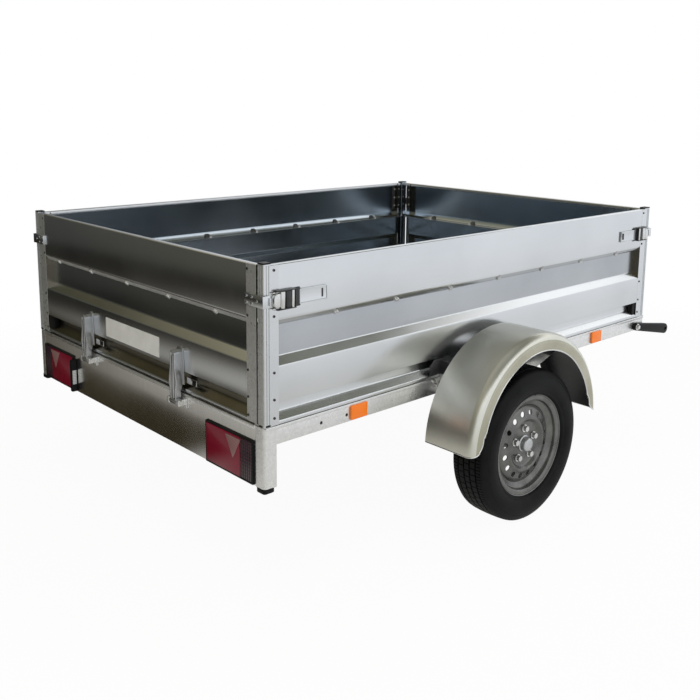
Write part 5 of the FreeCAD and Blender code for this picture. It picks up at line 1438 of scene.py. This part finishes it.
middle = (wheelX, legY, wheelZ)
rows = mirrored(jockeyForm["wheel"])
caster = weld(turnAbout(chain("jockeyWheel", radial(rows + rows[:1], middle)), middle, 360, 72))
paintAs(caster, [solidRubber, wheelPaint], 0)
for face in caster.data.polygons:
    if math.hypot(face.center.x - wheelX, face.center.z - wheelZ) <= jockeyForm["tread"]:
        face.material_index = 1
finishPiece(smooth(caster, 35), "jockey_wheel", "black_rubber", [solidRubber, wheelPaint], "jockey_wheel")

bend, gripX = jockeyForm["crankBend"], legX - jockeyForm["crankArm"]
places = [Vector((legX, legY, top - 0.001)), Vector((legX, legY, top + 0.024))]
for angle in jockeyForm["crankAngles"]:
    turn = math.radians(angle)
    places.append(Vector((legX - bend + bend * math.cos(turn), legY, top + 0.024 + bend * math.sin(turn))))
line = roundBar(chain("crankLine", places + [Vector((gripX + 0.0002, legY, top + 0.034))]), jockeyForm["crank"], 4)
grip = rod("crankGrip", (gripX, legY, top + 0.028 + 0.035), axisZ, jockeyForm["grip"], 0.070, 28)
roundEdges(grip, lambda middle, run: abs(run.z) < 0.001 and middle.z > top + 0.09, 0.007, 4)
black = [bevel(rod("sleeveCap", (legX, legY, top - 0.0035), axisZ, 0.0240, 0.0075, 48), 0.0022, 2),
         bevel(grip, 0.001, 1)]
black += [bevel(rod("gripRing", (gripX, legY, top + 0.034 + jockeyForm["ringStep"] * number), axisZ, 0.01195, 0.0035,
                    28), 0.0010, 2) for number in range(jockeyForm["rings"])]
crankFinishes = [brightZinc, blackPlastic]
parts = [paintAs(line, crankFinishes, 0)] + [paintAs(part, crankFinishes, 1) for part in black]
finishPiece(smooth(joinAll("jockeyCrank", parts)), "trailer", "bright_steel", crankFinishes, "jockey_crank")
print("jockey wheel set")


# corner lever: a flat bar with round ends, hollow behind the hole at its free end
leverForm = {"place": (0.49065, -0.7529, 0.4855), "fall": 11, "reach": 0.255, "root": 0.0170, "end": 0.0230,
             "thick": 0.0198, "hole": 0.008, "pocket": 0.0165, "boss": 0.0125, "ring": 0.0135}
reach, thick = leverForm["reach"], leverForm["thick"]
rows = []
for x, radius, first in ((0, leverForm["root"], 90), (reach, leverForm["end"], -90)):
    turns = [math.radians(angle) for angle in range(first, first + 181, 15)]
    rows += [(x + radius * math.cos(turn), radius * math.sin(turn)) for turn in turns]
blade = bevel(slab("cornerLever", 1, 0, rows, -thick), 0.0050, 4, 40)
boss = rod("leverBoss", (0, -thick / 2, 0), axisY, leverForm["boss"], thick + 0.0004, 32)
rim = rod("leverRing", (reach, -thick / 2, 0), axisY, leverForm["ring"], thick + 0.0004, 32)
for part in (blade, rim):
    cutOut(part, rod("hole", (reach, -0.01, 0), axisY, leverForm["hole"], 0.06, 32))
    cutOut(part, rod("pocket", (reach, -0.0060, 0), axisY, leverForm["pocket"], 0.0150, 32))
blade = joinAll("cornerLever", [blade, bevel(boss, 0.0012, 2), bevel(rim, 0.0010, 2)])
seed = hexBolt(0.017, 0.008, 0.0145)
bolt = copyTo(seed, [Vector((0, 0.0005 - thick, 0))], (0, -1, 0))[0]
drop(seed)
bolt.name = "leverBolt.001"
for obj in (blade, bolt):
    settle(obj)
    obj.rotation_euler.y = math.radians(leverForm["fall"])
    obj.location = leverForm["place"]
    settle(obj)
finishPiece(smooth(blade, 32), "trailer", "black_plastic", blackPlastic, "front_corner_lever")
finishPiece(bolt, "trailer", "bright_steel", brightZinc)
print("lever bolted")


# camera, stage and light: the floor as the metal mirrors it is a painted glow that falls off behind the trailer's left
# side, with the trailer's own shadow painted in behind the tail; of the room it's light low on the right under a dark
# upper edge, on the left a near-black band with a warm tone above it, and an even olive grey behind the tail; each row
# of stops holds a place from 0 to 1 and its tone
cameraForm = {"place": (-3.06535, -2.7355, 1.4795), "azimuth": 47.17, "down": 10.07, "roll": 0.62,
              "lens": 46.25, "shiftY": -0.1357}
stageForm = {"radius": 7.5, "fade": (1.8, 3.4), "lift": 0.95, "floor": 0.80, "toLight": (0.73, -0.68, 0),
             "shadeX": (-2.31, -2.19), "shadeY": (-0.05, 0.25), "shadeTone": (0.030, 0.024, 0.013),
             "mirror": ((0.00, (0.012, 0.011, 0.010)), (0.18, (0.020, 0.019, 0.016)), (0.235, (0.050, 0.047, 0.040)),
                        (0.275, (0.15, 0.142, 0.120)), (0.33, (0.40, 0.39, 0.36)), (0.40, (0.58, 0.57, 0.54)),
                        (0.50, (0.66, 0.655, 0.63)), (0.62, (0.82, 0.83, 0.84)), (1.00, (0.95, 0.97, 1.0)))}
worldForm = {"turn": (-0.45, 0.05), "rearward": (-0.30, -0.62),
             "left": ((0.00, (0.030, 0.032, 0.036)), (0.16, (0.035, 0.037, 0.040)), (0.37, (0.040, 0.040, 0.022)),
                      (0.46, (0.10, 0.092, 0.055)), (0.57, (0.56, 0.50, 0.35)), (0.75, (0.50, 0.46, 0.36)),
                      (1.00, (0.42, 0.41, 0.37))),
             "rear": ((0.00, (0.10, 0.097, 0.080)), (0.30, (0.20, 0.195, 0.145)), (0.60, (0.38, 0.36, 0.26)),
                      (1.00, (0.42, 0.41, 0.37))),
             "right": ((0.00, (0.93, 0.96, 1.0)), (0.41, (0.95, 0.98, 1.0)), (0.47, (1.5, 1.5, 1.5)),
                       (0.560, (1.6, 1.6, 1.6)), (0.600, (0.17, 0.175, 0.14)), (0.86, (0.20, 0.20, 0.17)),
                       (1.00, (0.40, 0.40, 0.38)))}


def setCamera():
    azimuth, down, roll = (math.radians(cameraForm[key]) for key in ("azimuth", "down", "roll"))
    forward = Vector((math.cos(down) * math.cos(azimuth), math.cos(down) * math.sin(azimuth), -math.sin(down)))
    right = forward.cross(Vector(axisZ)).normalized()
    up = right.cross(forward)
    across = math.cos(roll) * right + math.sin(roll) * up
    above = math.cos(roll) * up - math.sin(roll) * right
    data = bpy.data.cameras.new("camera")
    data.lens = cameraForm["lens"]
    data.sensor_width = 36
    data.shift_y = cameraForm["shiftY"]
    camera = bpy.data.objects.new("camera", data)
    bpy.context.scene.collection.objects.link(camera)
    turn = Matrix((across, above, -forward)).transposed().to_4x4()
    camera.matrix_world = Matrix.Translation(cameraForm["place"]) @ turn
    bpy.context.scene.camera = camera


def softBox(name, place, target, width, height, power):
    # a soft lamp that the metal doesn't mirror
    data = bpy.data.lights.new(name, "AREA")
    data.shape = "RECTANGLE"
    data.size, data.size_y, data.energy = width, height, power
    lamp = bpy.data.objects.new(name, data)
    bpy.context.scene.collection.objects.link(lamp)
    lamp.location = place
    lamp.visible_glossy = False
    lamp.rotation_euler = (Vector(target) - Vector(place)).to_track_quat("-Z", "Y").to_euler()


def eased(tree, value, limits, base=0.0):
    # a smooth rise from a base to 1 between two limits
    return addNode(tree, "ShaderNodeMapRange", {"Value": value, "From Min": limits[0], "From Max": limits[1],
                                                "To Min": base}, interpolation_type="SMOOTHSTEP").outputs["Result"]


def combined(tree, first, last, operation):
    return addNode(tree, "ShaderNodeMath", {0: first, 1: last}, operation=operation).outputs["Value"]


def blended(tree, share, first, last):
    return addNode(tree, "ShaderNodeMix", {"Factor": share, 6: first, 7: last}, data_type="RGBA").outputs[2]


def either(tree, share, first, last):
    return addNode(tree, "ShaderNodeMixShader", {"Fac": share, 1: first, 2: last}).outputs["Shader"]


def glow(tree, kind, tone):
    # a plain emission or background of one tone or a socket's colour
    return addNode(tree, kind, {"Color": tone, "Strength": 1.0}).outputs[0]


def buildStage():
    # a white floor for the camera; as the metal mirrors it, the same floor glows in painted tones with the trailer's
    # shadow painted in
    clearSelection()
    radius = stageForm["radius"]
    bpy.ops.mesh.primitive_circle_add(vertices=96, radius=radius, fill_type="NGON", location=(-0.2, 0, -0.0004))
    floor = named("studioFloor")
    material, tree, shader = startMaterial("studioFloor", {"Roughness": 0.9,
                                                            "Base Color": colour(stageForm["floor"])})
    light = addNode(tree, "ShaderNodeLightPath").outputs
    place = addNode(tree, "ShaderNodeTexCoord").outputs["Object"]
    far = addNode(tree, "ShaderNodeVectorMath", {0: place}, operation="LENGTH").outputs["Value"]
    fade = eased(tree, far, stageForm["fade"], stageForm["lift"])
    seen = either(tree, combined(tree, light["Is Camera Ray"], fade, "MULTIPLY"), shader.outputs["BSDF"],
                  glow(tree, "ShaderNodeEmission", colour(1.0)))
    reach = addNode(tree, "ShaderNodeVectorMath", {0: place, 1: stageForm["toLight"]}, operation="DOT_PRODUCT")
    share = addNode(tree, "ShaderNodeMapRange", {"Value": reach.outputs["Value"], "From Min": -radius,
                                                 "From Max": radius}).outputs["Result"]
    apart = addNode(tree, "ShaderNodeSeparateXYZ", {"Vector": place}).outputs
    # the trailer's shadow, painted on the mirrored floor near the tail
    paintedShadow = combined(tree, eased(tree, apart["X"], stageForm["shadeX"]), eased(tree, apart["Y"], stageForm["shadeY"]),
                      "MULTIPLY")
    ground = blended(tree, paintedShadow, stops(tree, share, stageForm["mirror"]), colour(stageForm["shadeTone"]))
    both = either(tree, light["Is Glossy Ray"], seen, glow(tree, "ShaderNodeEmission", ground))
    tree.links.new(both, tree.nodes["Material Output"].inputs["Surface"])
    floor.data.materials.append(material)


def setWorld():
    world = bpy.data.worlds.new("studio")
    bpy.context.scene.world = world
    world.use_nodes = True
    tree = world.node_tree
    tree.nodes.clear()
    light = addNode(tree, "ShaderNodeLightPath").outputs
    place = addNode(tree, "ShaderNodeTexCoord").outputs["Generated"]
    apart = addNode(tree, "ShaderNodeSeparateXYZ", {"Vector": place}).outputs
    aim = addNode(tree, "ShaderNodeVectorMath", {0: place, 1: stageForm["toLight"]}, operation="DOT_PRODUCT")
    left, rear, right = (stops(tree, apart["Z"], worldForm[key]) for key in ("left", "rear", "right"))
    far = blended(tree, eased(tree, apart["X"], worldForm["rearward"]), left, rear)
    whole = blended(tree, eased(tree, aim.outputs["Value"], worldForm["turn"]), far, right)
    seen = combined(tree, light["Is Camera Ray"], light["Is Transmission Ray"], "MAXIMUM")
    mix = either(tree, seen, glow(tree, "ShaderNodeBackground", whole), glow(tree, "ShaderNodeBackground", colour(1.0)))
    output = addNode(tree, "ShaderNodeOutputWorld")
    tree.links.new(mix, output.inputs["Surface"])


setCamera()
buildStage()
setWorld()
softBox("overhead", (-0.4, -0.4, 4.2), (-0.4, -0.1, 0.5), 4.5, 3.5, 75)
softBox("rightSide", (1.6, -4.6, 2.4), (-0.4, -0.4, 0.5), 3.5, 2.5, 60)
softBox("nearCamera", (-4.8, -2.6, 2.6), (-0.8, -0.2, 0.4), 2.5, 2.0, 25)
bpy.context.scene.view_settings.view_transform = "Standard"
print("stage and light set")
